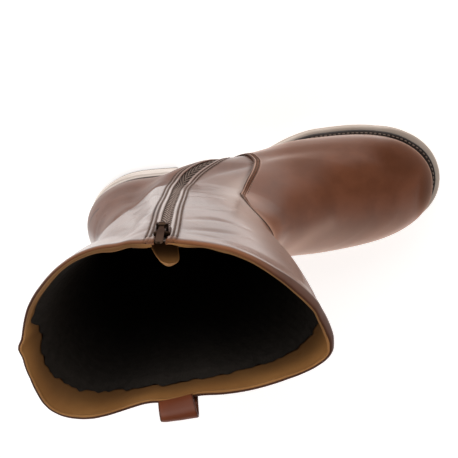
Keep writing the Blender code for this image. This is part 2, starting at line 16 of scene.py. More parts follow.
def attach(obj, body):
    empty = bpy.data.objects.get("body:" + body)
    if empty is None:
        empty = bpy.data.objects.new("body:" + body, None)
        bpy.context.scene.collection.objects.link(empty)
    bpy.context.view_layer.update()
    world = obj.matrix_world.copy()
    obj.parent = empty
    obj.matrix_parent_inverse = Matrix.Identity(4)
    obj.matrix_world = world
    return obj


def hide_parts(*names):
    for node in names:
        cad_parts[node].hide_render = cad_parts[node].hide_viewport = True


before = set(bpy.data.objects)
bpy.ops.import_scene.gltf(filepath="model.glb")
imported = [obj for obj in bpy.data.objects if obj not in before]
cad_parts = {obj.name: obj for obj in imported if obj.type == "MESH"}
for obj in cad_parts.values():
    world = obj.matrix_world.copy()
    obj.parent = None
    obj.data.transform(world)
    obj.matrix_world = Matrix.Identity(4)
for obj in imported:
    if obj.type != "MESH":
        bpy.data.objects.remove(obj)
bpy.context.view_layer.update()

MILLIMETRE = 0.001
BOX_MIDDLE = np.array([136.14, 1.61, 0.0])
BODY = "boot"

# The feather line, where upper, welt and sole meet
SEAT_HEIGHT = 40.0
BALL_HEIGHT = 12.0
TOE_HEIGHT = 20.0
SEAT_END_X = 55.0
BALL_X = 185.0
TOE_X = 285.0

# Sections of the upper from the feather line to the collar, the same as the solids'
SECTION_COLUMNS = ("back_x", "back_z", "front_x", "front_z", "heel_m", "heel_l",
                   "waist_m", "waist_l", "ball_m", "ball_l", "centre", "swing")
SECTIONS = np.array([
    (7.5, 40, 275.0, 20.0, 29.5, 28.5, 25.0, 33.0, 40.8, 40.2, 0.0, 3.2),
    (3.0, 48, 277.2, 29.0, 31.8, 31.0, 33.0, 36.5, 43.6, 43.3, 0.0, 3.2),
    (1.8, 56, 274.2, 39.0, 33.2, 32.5, 38.5, 38.5, 44.9, 43.9, 0.0, 3.2),
    (1.5, 64, 263.6, 49.0, 34.2, 33.0, 42.3, 38.5, 43.4, 41.5, 0.0, 2.5),
    (2.2, 72, 246.0, 56.5, 34.5, 33.0, 44.2, 38.0, 39.5, 39.0, 0.0, 2.0),
    (3.5, 80, 223.0, 64.0, 33.8, 33.0, 44.6, 37.0, 38.5, 36.0, 0.0, 1.0),
    (5.5, 88, 197.0, 74.0, 32.2, 33.0, 44.0, 36.0, 37.5, 34.5, 0.0, 0.0),
    (8.0, 97, 171.0, 88.0, 30.2, 33.5, 42.6, 36.0, 37.0, 34.0, 0.0, 0.0),
    (10.8, 108, 148.0, 104.0, 28.6, 34.0, 41.5, 36.0, 37.0, 34.0, -1.0, -1.0),
    (12.5, 122, 136.0, 124.0, 28.2, 35.0, 42.5, 36.5, 39.5, 34.5, -2.0, -2.0),
    (13.0, 140, 133.0, 150.0, 29.6, 36.0, 44.0, 37.0, 43.0, 35.0, -3.0, -3.0),
    (12.0, 165, 136.0, 182.0, 33.2, 37.0, 47.0, 36.5, 46.5, 34.0, -5.0, -4.0),
    (8.0, 197, 140.0, 217.0, 39.5, 37.5, 51.0, 35.0, 50.5, 31.0, -7.0, -5.0),
    (-2.0, 235, 141.5, 257.0, 49.0, 37.5, 55.0, 32.0, 54.5, 27.0, -9.5, -5.5),
    (-15.5, 274, 140.0, 296.0, 57.0, 36.8, 58.0, 27.8, 57.5, 22.5, -11.5, -5.5),
])
COLLAR = len(SECTIONS) - 1
STATION_COLUMNS = ("section", "heel_m", "waist_m", "ball_m", "heel_l", "waist_l", "ball_l",
                   "front_full", "back_full")
STATIONS = np.array([
    (0, 0.17, 0.43, 0.70, 0.17, 0.40, 0.68, 3.15, 2.4),
    (1.5, 0.17, 0.38, 0.62, 0.17, 0.40, 0.67, 3.20, 2.3),
    (5, 0.18, 0.39, 0.62, 0.18, 0.40, 0.65, 2.40, 2.2),
    (8, 0.20, 0.39, 0.54, 0.19, 0.40, 0.60, 1.35, 2.1),
    (11, 0.24, 0.38, 0.50, 0.19, 0.41, 0.60, 1.70, 2.0),
    (14, 0.33, 0.40, 0.47, 0.20, 0.42, 0.60, 1.70, 2.1),
])
FOLLOW = np.array([(0, 1.0), (1, 0.95), (2, 0.8), (3, 0.6), (4, 0.4), (5, 0.2), (6, 0.1), (7, 0.0)])
SWING_START = 0.35

# Lines drawn on the side view (x, z)
VAMP_SEAM = np.array([(112.0, 26), (112, 42), (123, 51), (129.5, 62), (130.5, 71), (126.5, 86), (119, 101),
                      (115, 112)])
VAMP_THROAT_V = 9.6
ZIP_LINE = np.array([(110.0, 56), (103.5, 64.5), (97.5, 73), (91, 80.5), (84, 90), (78, 101), (74.3, 114),
                     (72, 132), (69.6, 162), (65.8, 210), (63.8, 242), (62.2, 266), (60.2, 288)])
ZIP_HALF = 3.5
ZIP_FOOT_ROUND = 0.05

# Zip tape: half widths of the tape and of its raised chain, height of the chain, depth in the slot
TAPE_HALF = 6.4
CHAIN_HALF = 1.9
CHAIN_HEIGHT = 0.45
TAPE_DEPTH = 1.05

# Leather: radius of rolled edges, lift of the vamp, thread rows and samples across a sewn edge band
ROLL = 0.65
COLLAR_ROLL = 0.85
VAMP_LIFT = 1.0
SEAM_ROWS = (1.9, 4.1)
BAND_SAMPLES = np.array([
    0, 0.2, 0.4, 0.65, 0.9, 1.2, 1.45, 1.7, 1.9, 2.1, 2.35, 2.65, 3.0, 3.35, 3.65, 3.9, 4.1, 4.3, 4.6, 5.0,
    5.6, 6.4, 7.6])

# Stitches: pitch, length and radius
ZIP_STITCH = (2.8, 1.9, 0.36)
VAMP_STITCH = (2.8, 1.9, 0.42)
WELT_STITCH = (3.7, 2.4, 0.55)

# Collar by angle in degrees: width of its turned band, lean of its rim, flare below, depth of the facing
COLLAR_SHAPE = np.array([
    (0, 4.0, 2.0, 0.9, 38), (6, 5.0, 2.4, 1.9, 32), (12, 6.0, 2.8, 1.9, 26),
    (20, 7.0, 2.8, 2.1, 19), (25, 7.5, 2.8, 3.1, 16), (38, 8.0, 2.5, 2.9, 9),
    (49, 5.5, 1.5, 2.9, 5), (58, 3.2, 0.9, 3.7, 4.5), (67, 2.2, 0.8, 3.9, 4.5),
    (78, 1.8, 0.7, 2.2, 4.5), (88, 1.2, 0.5, 1.0, 5.5), (97, 1.0, 0.5, 0.1, 6.2),
    (105, 1.0, 0.5, -0.1, 6.5), (112, 1.0, 0.5, -0.3, 6), (120, 1.0, 0.5, -0.8, 5),
    (132, 1.0, 0.5, -1.5, 5), (140, 1.0, 0.5, -1.6, 5), (146, 1.0, 0.5, -1.4, 5),
    (152, 1.1, 0.6, -0.7, 5), (158, 1.3, 0.6, -0.1, 5), (166, 1.6, 0.8, 0.2, 7),
    (170, 1.8, 0.8, 0.4, 15), (177, 2.1, 0.8, 0.7, 19), (183, 2.2, 1.1, 0.9, 17),
    (192, 2.2, 1.8, 1.0, 15.5), (200, 2.2, 2.1, 2.2, 19), (206, 2.2, 2.2, 3.5, 20),
    (211, 2.2, 2.0, 3.7, 22.5), (217, 2.2, 1.7, 2.8, 23.5), (225, 2.2, 1.4, 1.1, 26),
    (231, 2.2, 1.1, 0.2, 27.5), (238, 2.2, 0.8, -0.4, 28), (245, 2.2, 0.8, 0.2, 24),
    (252, 2.2, 0.8, 1.0, 19.5), (262, 2.2, 0.8, 1.5, 18.5), (280, 2.2, 0.8, 2.4, 18),
    (286, 2.2, 0.8, 2.1, 20), (292, 2.2, 0.8, 1.5, 25.5), (298, 2.2, 0.8, 0.8, 26.5),
    (306, 2.3, 0.8, -0.3, 29), (315, 2.5, 0.9, -1.2, 32), (326, 2.8, 1.1, -1.4, 37),
    (338, 3.1, 1.3, -1.2, 40), (347, 3.4, 1.5, -0.6, 41.5), (354, 3.7, 1.8, 0.1, 41),
    (360, 4.0, 2.0, 0.9, 38)])
FLARE_LENGTH = 30.0
BACK_PINCH = 2.0
BACK_SEAM_U = 3.07

# Grids: angle at which rows are spaced, first sections, and counts of rows and columns
ROW_U = 2.0
SHAFT_FOOT_V = 0.12
SHAFT_ROWS = 250
SHAFT_COLUMNS = 250
RIM_ROWS = 7
VAMP_FOOT_V = 0.25
VAMP_ROWS = 150
VAMP_COLUMNS = 190
LINING_FOOT_V = 0.4
LINING_ROWS = 150
LINING_COLUMNS = 360
FACING_ROWS = 26
SOLE_POINTS = 360
TREAD_RINGS = 25
HEEL_POINTS = 150
HEEL_RINGS = 70
ZIP_ROWS = 260
GUARD_ROWS = 300
GUARD_COLUMNS = 28
LOOP_ROWS = 70
LOOP_COLUMNS = 56
ROLL_TURNS = np.radians([30, 60, 90, 120, 150, 180])

# Inside: radius of the facing's lip, depths of facing and lining, their gaps beside the zip, and how
# far the lining starts under the facing
FACING_LIP = 0.5
FACING_DEPTH = 1.2
LINING_DEPTH = 2.8
FACING_GAP = 0.4
LINING_GAP = 6.0
LINING_OVERLAP = 1.2

# Welt and sole by share of the length: the welt out from the upper, the sole out from the welt
EDGE = np.array([(0.0, 1.3, 1.4), (0.25, 1.3, 1.4), (0.42, 1.0, 0.8), (0.52, 1.6, 1.4), (0.68, 3.5, 2.6),
                 (0.86, 3.9, 3.0), (0.95, 5.2, 5.0), (1.0, 7.6, 4.2)])
LATERAL_TRIM = 2.0
SOLE_FLAT_X = (170.0, 224.0)
SOLE_TIP_X = 287.0
TOE_SPRING = 8.0
HEEL_HEIGHT = 29.0
ARCH_START_X = 80.0
HEEL_BREAST_X = 74.0
HEEL_INSET = 1.0
HEEL_TAPER = 3.0
TOP_LIFT = 6.0
WELT_TOP_V = 0.45
WELT_STITCH_X = 125.0
WELT_STITCH_INSET = 2.2
WELT_PRESS = 0.12
WELT_PRESS_PITCH = 3.6
TREAD_X = (152.0, 276.0)
RIB_PITCH = 5.0
RIB_DEPTH = 0.7
HEEL_LAYER = 4.6

# Rings of the outsole's edge: moved in, share of the thickness, lifted, dark tone
OUTSOLE_RINGS = (
    (2.2, 0, 0.0, 0.0), (1.4, 0, 0.25, 0.0), (0.6, 0, 0.8, 0.0), (0.15, 0, 1.6, 0.0), (0.0, 0, 2.4, 0.0),
    (0.0, 0.42, 0, 0.0), (0.1, 0.46, 0, 0.4), (0.35, 0.5, 0, 1.0), (0.1, 0.54, 0, 0.4), (0.0, 0.58, 0, 0.0),
    (0.0, 1, -1.6, 0.0), (0.15, 1, -1.0, 0.0), (0.5, 1, -0.45, 0.0), (1.0, 1, -0.12, 0.0), (1.6, 1, 0.0, 0.0),
    (6.0, 1, 0.0, 0.3))

# Rings of the welt's edge: moved in, lifted
WELT_RINGS = ((0.0, 0.0), (-0.05, 0.5), (0.0, 1.3), (0.25, 2.0), (0.7, 2.35))

# Pull loop: middle and half width along the collar, half thickness, skew, and its fold as places out
# from the wall and up
LOOP_X = 59.5
LOOP_HALF = 9.0
LOOP_THICK_HALF = 0.9
LOOP_SKEW = 3.0
LOOP_LINE = np.array([(-1.2, 1.4), (0.4, 5.0), (3.0, 8.8), (5.6, 10.2), (7.3, 8.6), (6.8, 4.4),
                      (4.6, -1.0), (2.6, -6.5), (1.6, -12.0), (1.5, -24.0)])

# Guard behind the zip: length, half width, half thickness, length of its rounded tongue, depth, and its
# bend into the mouth as a length, a depth and a shift forwards
GUARD_LENGTH = 112.0
GUARD_HALF = 7.6
GUARD_THICK_HALF = 0.6
TONGUE = 7.0
GUARD_DEPTH = 5.0
BEND_LENGTH = 20.0
BEND_DEPTH = 8.0
BEND_SHIFT = 4.5

# Painted highlight streak over the vamp's lateral side, in plan (x, y)
VAMP_HIGHLIGHT_STREAK = np.array([(150.0, -26), (166, -15.7), (182, -10)])

# Fold above the counter in the side view (x, z), under which the leather is duller, with painted shade just
# below it
ANKLE_FOLD = np.array([(10.0, 108), (13.5, 120), (20, 139), (26, 146), (32, 144), (38, 137), (44, 132),
                       (50, 131), (56, 131), (62, 126), (68, 116), (74, 103), (100, 60)])

# Short seam at the back of the counter in the side view (x, z)
COUNTER_SEAM = np.array([(1.0, 78.0), (7, 84), (14, 90)])

# Creases of the medial shaft, as side-view lines with a depth and a width; a negative depth is a ridge
CREASES = (
    (0.5, 2.2, [(84, 110), (94, 113), (104, 114.5)]),
    (0.6, 2.4, [(81, 144), (93, 133), (108, 119)]),
    (0.7, 2.6, [(80, 166), (92, 152), (107, 141)]),
    (0.7, 3.0, [(78, 210), (90, 200), (106, 173)]),
    (0.9, 2.6, [(76, 239), (84, 233), (92, 227.5), (107, 224)]),
    (0.8, 2.6, [(75, 261), (84, 256.5), (94, 251), (106, 244)]),
    (0.6, 2.4, [(76, 271), (84, 269), (95, 266)]),
    (0.4, 1.8, [(40, 150), (48, 165), (57, 203)]),
    (0.4, 1.8, [(44, 136), (53, 155), (61, 166)]),
    (0.35, 2.0, [(34, 240), (44, 228), (55, 243)]),
    (0.35, 1.8, [(40, 281), (49, 269), (56, 260)]),
    (-3.2, 9.0, [(39, 104), (41, 130), (43, 160), (46, 190), (50, 225)]),
    (1.6, 4.5, [(8, 106), (14, 116), (20, 133), (26, 140), (32, 138), (38, 131), (44, 126)]),
    (1.2, 3.4, [(40, 130), (48, 126), (56, 126), (62, 120), (68, 110)]),
)

# Tones for each leather: two cloudy browns, a burnt one for burnish and painted shade, and a pale one for
# wear and painted highlights
LEATHER_TONES = {
    "shaft": ((0.15, 0.06, 0.034), (0.11, 0.042, 0.023), (0.035, 0.013, 0.007), (0.56, 0.45, 0.4)),
    "vamp": ((0.155, 0.05, 0.021), (0.115, 0.035, 0.013), (0.034, 0.011, 0.005), (0.62, 0.4, 0.305)),
    "facing": ((0.36, 0.175, 0.056), (0.29, 0.135, 0.042), (0.105, 0.05, 0.019), (0.42, 0.21, 0.08)),
    "loop": ((0.2, 0.056, 0.024), (0.14, 0.037, 0.015), (0.03, 0.009, 0.005), (0.24, 0.085, 0.045)),
    "welt": ((0.03, 0.017, 0.012), (0.016, 0.009, 0.007), (0.01, 0.006, 0.004), (0.62, 0.55, 0.5)),
}

# Two tones for each of the other materials, then tones laid over some of them
PLAIN_TONES = {
    "lining": ((0.014, 0.012, 0.01), (0.035, 0.03, 0.026)),
    "tape": ((0.012, 0.008, 0.006), (0.35, 0.265, 0.225)),
    "thread": ((0.07, 0.038, 0.024), (0.17, 0.1, 0.068)),
    "pale_thread": ((0.13, 0.095, 0.075), (0.26, 0.2, 0.165)),
    "sole": ((0.62, 0.545, 0.49), (0.74, 0.675, 0.62)),
    "rubber": ((0.02, 0.016, 0.013), (0.035, 0.028, 0.024)),
    "metal": ((0.02, 0.011, 0.007), (0.08, 0.05, 0.033)),
}
RAW_EDGE_TONE = (0.27, 0.105, 0.042)
# Pale tone of the painted highlight along the vamp's foot line
VAMP_FOOT_HIGHLIGHT = (0.66, 0.6, 0.585)
TAPE_SHADE = (0.018, 0.009, 0.006)
SOLE_STRIPE = (0.25, 0.165, 0.095)
METAL_GLINT = (0.64, 0.57, 0.555, 1.0)
SHEEN_TINT = (1.0, 0.66, 0.5, 1.0)
COAT_IOR = 1.6

# Camera in boot millimetres, its roll and lens
CAMERA_PLACE = (70.3, 147.8, 662.9)
CAMERA_TARGET = (105.6, -1.4, 100.0)
CAMERA_ROLL_DEG = 4.8
CAMERA_LENS = 63.73

# Studio: tones and strengths, and a soft box in metres and watts
FLOOR_TONE = (0.9, 0.9, 0.9, 1.0)
FLOOR_GLOW = (1.0, 0.985, 0.975, 1.0)
GLOW_STRENGTH = 0.5
SKY_TONE = (1.0, 0.955, 0.93, 1.0)
SKY_STRENGTH = 1.55
SKY_DIMMING = 1.35
LIGHT_PLACE = (-0.35, 1.3, 1.2)
LIGHT_TARGET = (0.0, 0.0, 0.1)
LIGHT_SIZE = 1.2
LIGHT_POWER = 5.0


def smooth(share):
    """Ease from 0 to 1 with flat ends: three squares less two cubes."""
    share = np.clip(share, 0.0, 1.0)
    return share * share * (3.0 - 2.0 * share)


def bell(distance, width):
    """Bell curve of a distance, 1 at nought."""
    return np.exp(-(distance / width) ** 2)


def table_at(table, place):
    """Smooth curve through the rows of a table, each piece a cubic whose slope at a row is half the
    step between its neighbours; place counts rows and may be an array."""
    padded = np.vstack([2 * table[0] - table[1], table, 2 * table[-1] - table[-2]])
    place = np.asarray(place, float)
    index = np.clip(np.floor(place).astype(int), 0, len(table) - 2)
    f = (place - index)[..., None]
    a, b, c, d = (padded[index + k] for k in range(4))
    return 0.5 * (2 * b + (c - a) * f + (2 * a - 5 * b + 4 * c - d) * f**2 + (3 * b - a - 3 * c + d) * f**3)


def feather_height(x):
    """Height of the feather line: level at the seat, eased down to the ball, a parabola up the toe."""
    fall = (BALL_HEIGHT - SEAT_HEIGHT) * smooth((x - SEAT_END_X) / (BALL_X - SEAT_END_X))
    toe = (TOE_HEIGHT - BALL_HEIGHT) * np.clip((x - BALL_X) / (TOE_X - BALL_X), 0.0, 1.2) ** 2
    return SEAT_HEIGHT + fall + toe


def half_width(share, size, station, side):
    """Half width along a section: eased between heel, waist and ball, each end rounded off as the
    square root of one less a power of the way to that end."""
    heel, waist, ball = (size[name + side] for name in ("heel_", "waist_", "ball_"))
    heel_at, waist_at, ball_at = (station[name + side] for name in ("heel_", "waist_", "ball_"))
    behind = heel + (waist - heel) * smooth((share - heel_at) / (waist_at - heel_at))
    ahead = waist + (ball - waist) * smooth((share - waist_at) / (ball_at - waist_at))
    to_front = np.clip((share - ball_at) / (1 - ball_at), 0.0, 1.0)
    to_back = np.clip((heel_at - share) / heel_at, 0.0, 1.0)
    ends = np.sqrt(1 - to_front ** station["front_full"]) * np.sqrt(1 - to_back ** station["back_full"])
    return np.where(share < waist_at, behind, ahead) * ends


def wall(v, u):
    """Skin of the boot: a section's length is walked by the cosine of u, its half width gives y, and
    its height is a straight chord plus a share of the feather line's dip."""
    v, u = np.broadcast_arrays(np.asarray(v, float), np.asarray(u, float))
    size = dict(zip(SECTION_COLUMNS, np.moveaxis(table_at(SECTIONS, v), -1, 0)))
    station = {name: np.interp(v, STATIONS[:, 0], STATIONS[:, k]) for k, name in enumerate(STATION_COLUMNS)}
    share = (1 + np.cos(u)) / 2
    x = size["back_x"] + (size["front_x"] - size["back_x"]) * share
    medial = half_width(share, size, station, "m")
    lateral = half_width(share, size, station, "l")
    y = np.where(np.sin(u) >= 0, medial, -lateral) + size["centre"]
    y = y + size["swing"] * smooth((share - SWING_START) / (1 - SWING_START))
    back_dip = feather_height(size["back_x"])
    dip = feather_height(x) - back_dip - (feather_height(size["front_x"]) - back_dip) * share
    z = size["back_z"] + (size["front_z"] - size["back_z"]) * share
    return np.stack([x, y, z + np.interp(v, FOLLOW[:, 0], FOLLOW[:, 1]) * dip], axis=-1)


def unit(vectors):
    """Vectors scaled to length one."""
    return vectors / np.maximum(np.linalg.norm(vectors, axis=-1, keepdims=True), 1e-12)


def wall_normal(v, u, step=0.002):
    """Outward normal of the skin: the cross product of small steps around and up it."""
    return unit(np.cross(wall(v, u + step) - wall(v, u - step), wall(v + step, u) - wall(v - step, u)))


def skin(v, u, out):
    """Skin moved outwards by a distance along its normal."""
    return wall(v, u) + wall_normal(v, u) * np.asarray(out)[..., None]


def around_length(v, u, step=0.002):
    """Millimetres walked around the boot for one radian of u."""
    return np.linalg.norm(wall(v, u + step) - wall(v, u - step), axis=-1) / (2 * step)


def rise_length(v, u, step=0.005):
    """Millimetres climbed up the skin for one section."""
    return np.linalg.norm(wall(v + step, u) - wall(v - step, u), axis=-1) / (2 * step)


# Millimetres climbed for one section at the collar
RIM_RISE = rise_length(COLLAR - 0.01, ROW_U)


def collar_at(u):
    """Turned band, lean, flare and facing depth of the collar at angles u, from its table."""
    turned = np.degrees(u) % 360
    return [np.interp(turned, COLLAR_SHAPE[:, 0], COLLAR_SHAPE[:, k]) for k in range(1, 5)]


def collar_out(below, u):
    """How far the collar stands out, by millimetres below its rim: a slow flare, pinched at the back
    seam, less a lean that grows as the square of the way up the turned band."""
    band, lean, flare, _ = collar_at(u)
    flare = flare + BACK_PINCH * bell(u - BACK_SEAM_U, 0.05)
    return flare * smooth(1 - below / FLARE_LENGTH) - lean * np.clip(1 - below / (1.8 * band), 0, 1) ** 2


def side_place(line, side):
    """Section and angle of the skin at side-view points (x, z), by halving; side 1 medial, -1 lateral."""
    line = np.asarray(line, float)
    x, z = line[..., 0], line[..., 1]
    low, high = np.zeros_like(x), np.full_like(x, COLLAR)
    for _ in range(36):
        v = (low + high) / 2
        ends = table_at(SECTIONS, v)
        share = np.clip((x - ends[..., 0]) / (ends[..., 2] - ends[..., 0]), 0.001, 0.999)
        u = side * np.arccos(2 * share - 1)
        under = wall(v, u)[..., 2] < z
        low, high = np.where(under, v, low), np.where(under, high, v)
    return v, u


def run_along(points):
    """Millimetres walked along a line of points, nought at its first."""
    return np.concatenate([[0], np.cumsum(np.linalg.norm(np.diff(points, axis=0), axis=1))])


def even_points(points, count):
    """Points spaced evenly along a line of points."""
    length = run_along(points)
    picks = np.linspace(0, length[-1], count)
    return np.stack([np.interp(picks, length, points[:, k]) for k in range(points.shape[1])], axis=-1)


def drawn_line(table, count):
    """Evenly spaced points on the smooth curve through a table."""
    table = np.asarray(table, float)
    return even_points(table_at(table, np.linspace(0, len(table) - 1, 12 * len(table))), count)


def across_of(line):
    """Unit vectors across a line in a plane, to its right as it runs."""
    along = unit(np.gradient(line, axis=0))
    return np.stack([along[:, 1], -along[:, 0]], axis=-1)


def line_distance(places, table):
    """Distance in a plane from places to a drawn line, and how far along it, 0 to 1."""
    line = drawn_line(table, 24)
    best = np.full(places.shape[:-1], 1e9)
    along = np.zeros(places.shape[:-1])
    for k, (a, b) in enumerate(zip(line[:-1], line[1:])):
        t = np.clip(((places - a) @ (b - a)) / ((b - a) @ (b - a)), 0, 1)
        d = np.linalg.norm(places - a - t[..., None] * (b - a), axis=-1)
        along = np.where(d < best, (k + t) / (len(line) - 1), along)
        best = np.minimum(best, d)
    return best, along


def to_metres(points):
    """Boot millimetres to metres from the origin."""
    return (np.asarray(points) - BOX_MIDDLE) * MILLIMETRE


def grid_faces(rows, columns, wrap=False, inward=False):
    """Quads between neighbouring points of a grid; wrap joins the last column to the first, and inward
    turns the quads over."""
    index = np.arange(rows * columns).reshape(rows, columns)
    if wrap:
        index = np.hstack([index, index[:, :1]])
    corners = [index[:-1, :-1], index[:-1, 1:], index[1:, 1:], index[1:, :-1]]
    if inward:
        corners = corners[::-1]
    return np.stack(corners, axis=-1).reshape(-1, 4)


def piece(name, points, faces, look, slot, nodes=(), uv=None, masks=None, weld=False, sharp=40):
    """Object from points in boot millimetres and faces, with a UV map in millimetres and masks as
    point attributes; it rides on the boot and may stand for nodes of the frame."""
    mesh = bpy.data.meshes.new(name)
    mesh.from_pydata(to_metres(points).tolist(), [], np.asarray(faces).tolist())
    for key, values in (masks or {}).items():
        layer = mesh.attributes.new(key, "FLOAT", "POINT")
        layer.data.foreach_set("value", np.ravel(values).astype(np.float32))
    if uv is not None:
        corner = np.empty(len(mesh.loops), np.int32)
        mesh.loops.foreach_get("vertex_index", corner)
        layer = mesh.uv_layers.new(name="cloth")
        layer.data.foreach_set("uv", np.reshape(uv, (-1, 2))[corner].astype(np.float32).ravel())
    if weld:
        welded = bmesh.new()
        welded.from_mesh(mesh)
        bmesh.ops.remove_doubles(welded, verts=welded.verts, dist=2e-6)
        welded.to_mesh(mesh)
        welded.free()
    mesh.shade_smooth()
    mesh.set_sharp_from_angle(angle=np.radians(sharp))
    mesh.materials.append(look)
    made = bpy.data.objects.new(name, mesh)
    bpy.context.scene.collection.objects.link(made)
    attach(made, BODY)
    if nodes:
        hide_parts(*nodes)


def grid_piece(name, points, look, slot, wrap=False, inward=False, **more):
    """Object from a grid of points, rows by columns."""
    rows, columns = points.shape[:2]
    piece(name, points.reshape(-1, 3), grid_faces(rows, columns, wrap, inward), look, slot, **more)


# Shader groups and finishes


def new_group(name, inputs, outputs):
    """Node group with number sockets, inputs by name and value, outputs by name; returns it with its
    two end nodes."""
    group = bpy.data.node_groups.new(name, "ShaderNodeTree")
    for key, value in inputs.items():
        socket = group.interface.new_socket(key, in_out="INPUT", socket_type="NodeSocketFloat")
        socket.default_value = value
    for key in outputs:
        group.interface.new_socket(key, in_out="OUTPUT", socket_type="NodeSocketFloat")
    return group, group.nodes.new("NodeGroupInput"), group.nodes.new("NodeGroupOutput")


def put_out(group, end, **values):
    """Feed a group's outputs by name."""
    for key, value in values.items():
        group.links.new(value, end.inputs[key])


def add(tree, kind, links=(), **settings):
    """Node of a kind; settings are its properties, and links feed its sockets by name or position."""
    node = tree.nodes.new(kind)
    for key, value in settings.items():
        setattr(node, key, value)
    for socket, source in dict(links).items():
        tree.links.new(source, node.inputs[socket])
    return node


def maths(tree, operation, first, second=None):
    """Math node on numbers or sockets."""
    node = tree.nodes.new("ShaderNodeMath")
    node.operation = operation
    for k, value in enumerate((first, second)):
        if isinstance(value, bpy.types.NodeSocket):
            tree.links.new(value, node.inputs[k])
        elif value is not None:
            node.inputs[k].default_value = value
    return node.outputs[0]


def weighted(tree, first, weight, second, second_weight):
    """Sum of two sockets, each times its weight."""
    return maths(tree, "ADD", maths(tree, "MULTIPLY", first, weight),
                 maths(tree, "MULTIPLY", second, second_weight))


def ramp(tree, value, low, high):
    """Number eased from 0 at low to 1 at high."""
    node = tree.nodes.new("ShaderNodeMapRange")
    node.interpolation_type = "SMOOTHSTEP"
    node.inputs["From Min"].default_value = low
    node.inputs["From Max"].default_value = high
    tree.links.new(value, node.inputs["Value"])
    return node.outputs["Result"]


def mix_colour(tree, share, first, second):
    """Colour between two, each a socket or a triple, by a share."""
    node = tree.nodes.new("ShaderNodeMix")
    node.data_type = "RGBA"
    tree.links.new(share, node.inputs[0])
    for socket, value in ((6, first), (7, second)):
        if isinstance(value, bpy.types.NodeSocket):
            tree.links.new(value, node.inputs[socket])
        else:
            node.inputs[socket].default_value = (*value, 1.0)
    return node.outputs[2]


def object_place(tree, scale):
    """Object coordinates in metres, plain and times a scale socket."""
    place = add(tree, "ShaderNodeTexCoord").outputs["Object"]
    scaled = add(tree, "ShaderNodeVectorMath", {0: place, 3: scale}, operation="SCALE")
    return place, scaled.outputs["Vector"]


def noise(tree, place, scale, detail=2.0, roughness=0.5):
    """Noise texture at a place, as a number."""
    node = add(tree, "ShaderNodeTexNoise", {"Vector": place})
    for key, value in (("Scale", scale), ("Detail", detail), ("Roughness", roughness)):
        node.inputs[key].default_value = value
    return node.outputs["Fac"]


def grain_group():
    """Leather grain: small pebbles from cell distances, fine pores and a slow cloudiness; puts out a
    height, a cloud tone and a scuff mask."""
    group, start, end = new_group("leather_grain", {"Scale": 1.0}, ("Height", "Cloud", "Scuff"))
    place, scaled = object_place(group, start.outputs["Scale"])
    cells = add(group, "ShaderNodeTexVoronoi", {"Vector": scaled}, feature="SMOOTH_F1")
    cells.inputs["Scale"].default_value = 900
    pores = noise(group, scaled, 2600)
    cloud = noise(group, place, 38, 4, 0.55)
    scuff = noise(group, place, 150, 6, 0.7)
    put_out(group, end, Height=weighted(group, cells.outputs["Distance"], 0.7, pores, 0.35),
            Cloud=ramp(group, cloud, 0.32, 0.68), Scuff=ramp(group, scuff, 0.55, 0.75))
    return group


def weave_group():
    """Woven cloth: a herringbone, the sine of the way across from the middle plus a share of the way
    along the UV map, in millimetres, over finer ribs; puts out a height and a tone."""
    group, start, end = new_group("woven_cloth", {"Pitch": 0.6}, ("Height", "Tone"))
    place = add(group, "ShaderNodeUVMap", uv_map="cloth").outputs["UV"]
    parts = add(group, "ShaderNodeSeparateXYZ", {0: place})
    turn = maths(group, "DIVIDE", 6.2832, start.outputs["Pitch"])
    across = maths(group, "ABSOLUTE", parts.outputs["X"])
    lean = maths(group, "MULTIPLY", parts.outputs["Y"], 0.3)
    slant = maths(group, "SINE", maths(group, "MULTIPLY", maths(group, "ADD", lean, across), turn))
    rib_turn = maths(group, "MULTIPLY", turn, 1.7)
    rib = maths(group, "SINE", maths(group, "MULTIPLY", parts.outputs["X"], rib_turn))
    put_out(group, end, Height=weighted(group, slant, 0.5, rib, 0.1),
            Tone=weighted(group, slant, 0.6, noise(group, place, 0.9), 1.0))
    return group


def fuzz_group():
    """Napped cloth: clumps of two sizes from noise; puts out a height and a tone."""
    group, start, end = new_group("napped_cloth", {"Scale": 1.0}, ("Height", "Tone"))
    _, scaled = object_place(group, start.outputs["Scale"])
    clump = noise(group, scaled, 260, 5)
    hair = noise(group, scaled, 1500)
    put_out(group, end, Height=weighted(group, clump, 1.0, hair, 0.5), Tone=clump)
    return group


GROUPS = {}


def use_group(tree, name, **values):
    """Place a shared group in a material with its own values."""
    node = tree.nodes.new("ShaderNodeGroup")
    node.node_tree = GROUPS[name]
    for key, value in values.items():
        node.inputs[key].default_value = value
    return node.outputs


def mask_value(tree, name):
    """A piece's own point mask, nought where the piece has none of that name."""
    return add(tree, "ShaderNodeAttribute", attribute_name=name).outputs["Fac"]


def finish(name, roughness, coat=0.0, coat_roughness=0.2, specular=0.5):
    """Material with a Principled shader whose plain values are set on its own sockets."""
    made = bpy.data.materials.new(name)
    made.use_nodes = True
    shader = made.node_tree.nodes["Principled BSDF"]
    values = {"Roughness": roughness, "Coat Weight": coat, "Coat Roughness": coat_roughness,
              "Specular IOR Level": specular}
    for key, value in values.items():
        shader.inputs[key].default_value = value
    return made, made.node_tree, shader


def bump(tree, shader, height, distance):
    """Bump from a height in units of a distance in millimetres."""
    node = add(tree, "ShaderNodeBump", {"Height": height})
    node.inputs["Strength"].default_value = 1.0
    node.inputs["Distance"].default_value = distance * MILLIMETRE
    tree.links.new(node.outputs["Normal"], shader.inputs["Normal"])


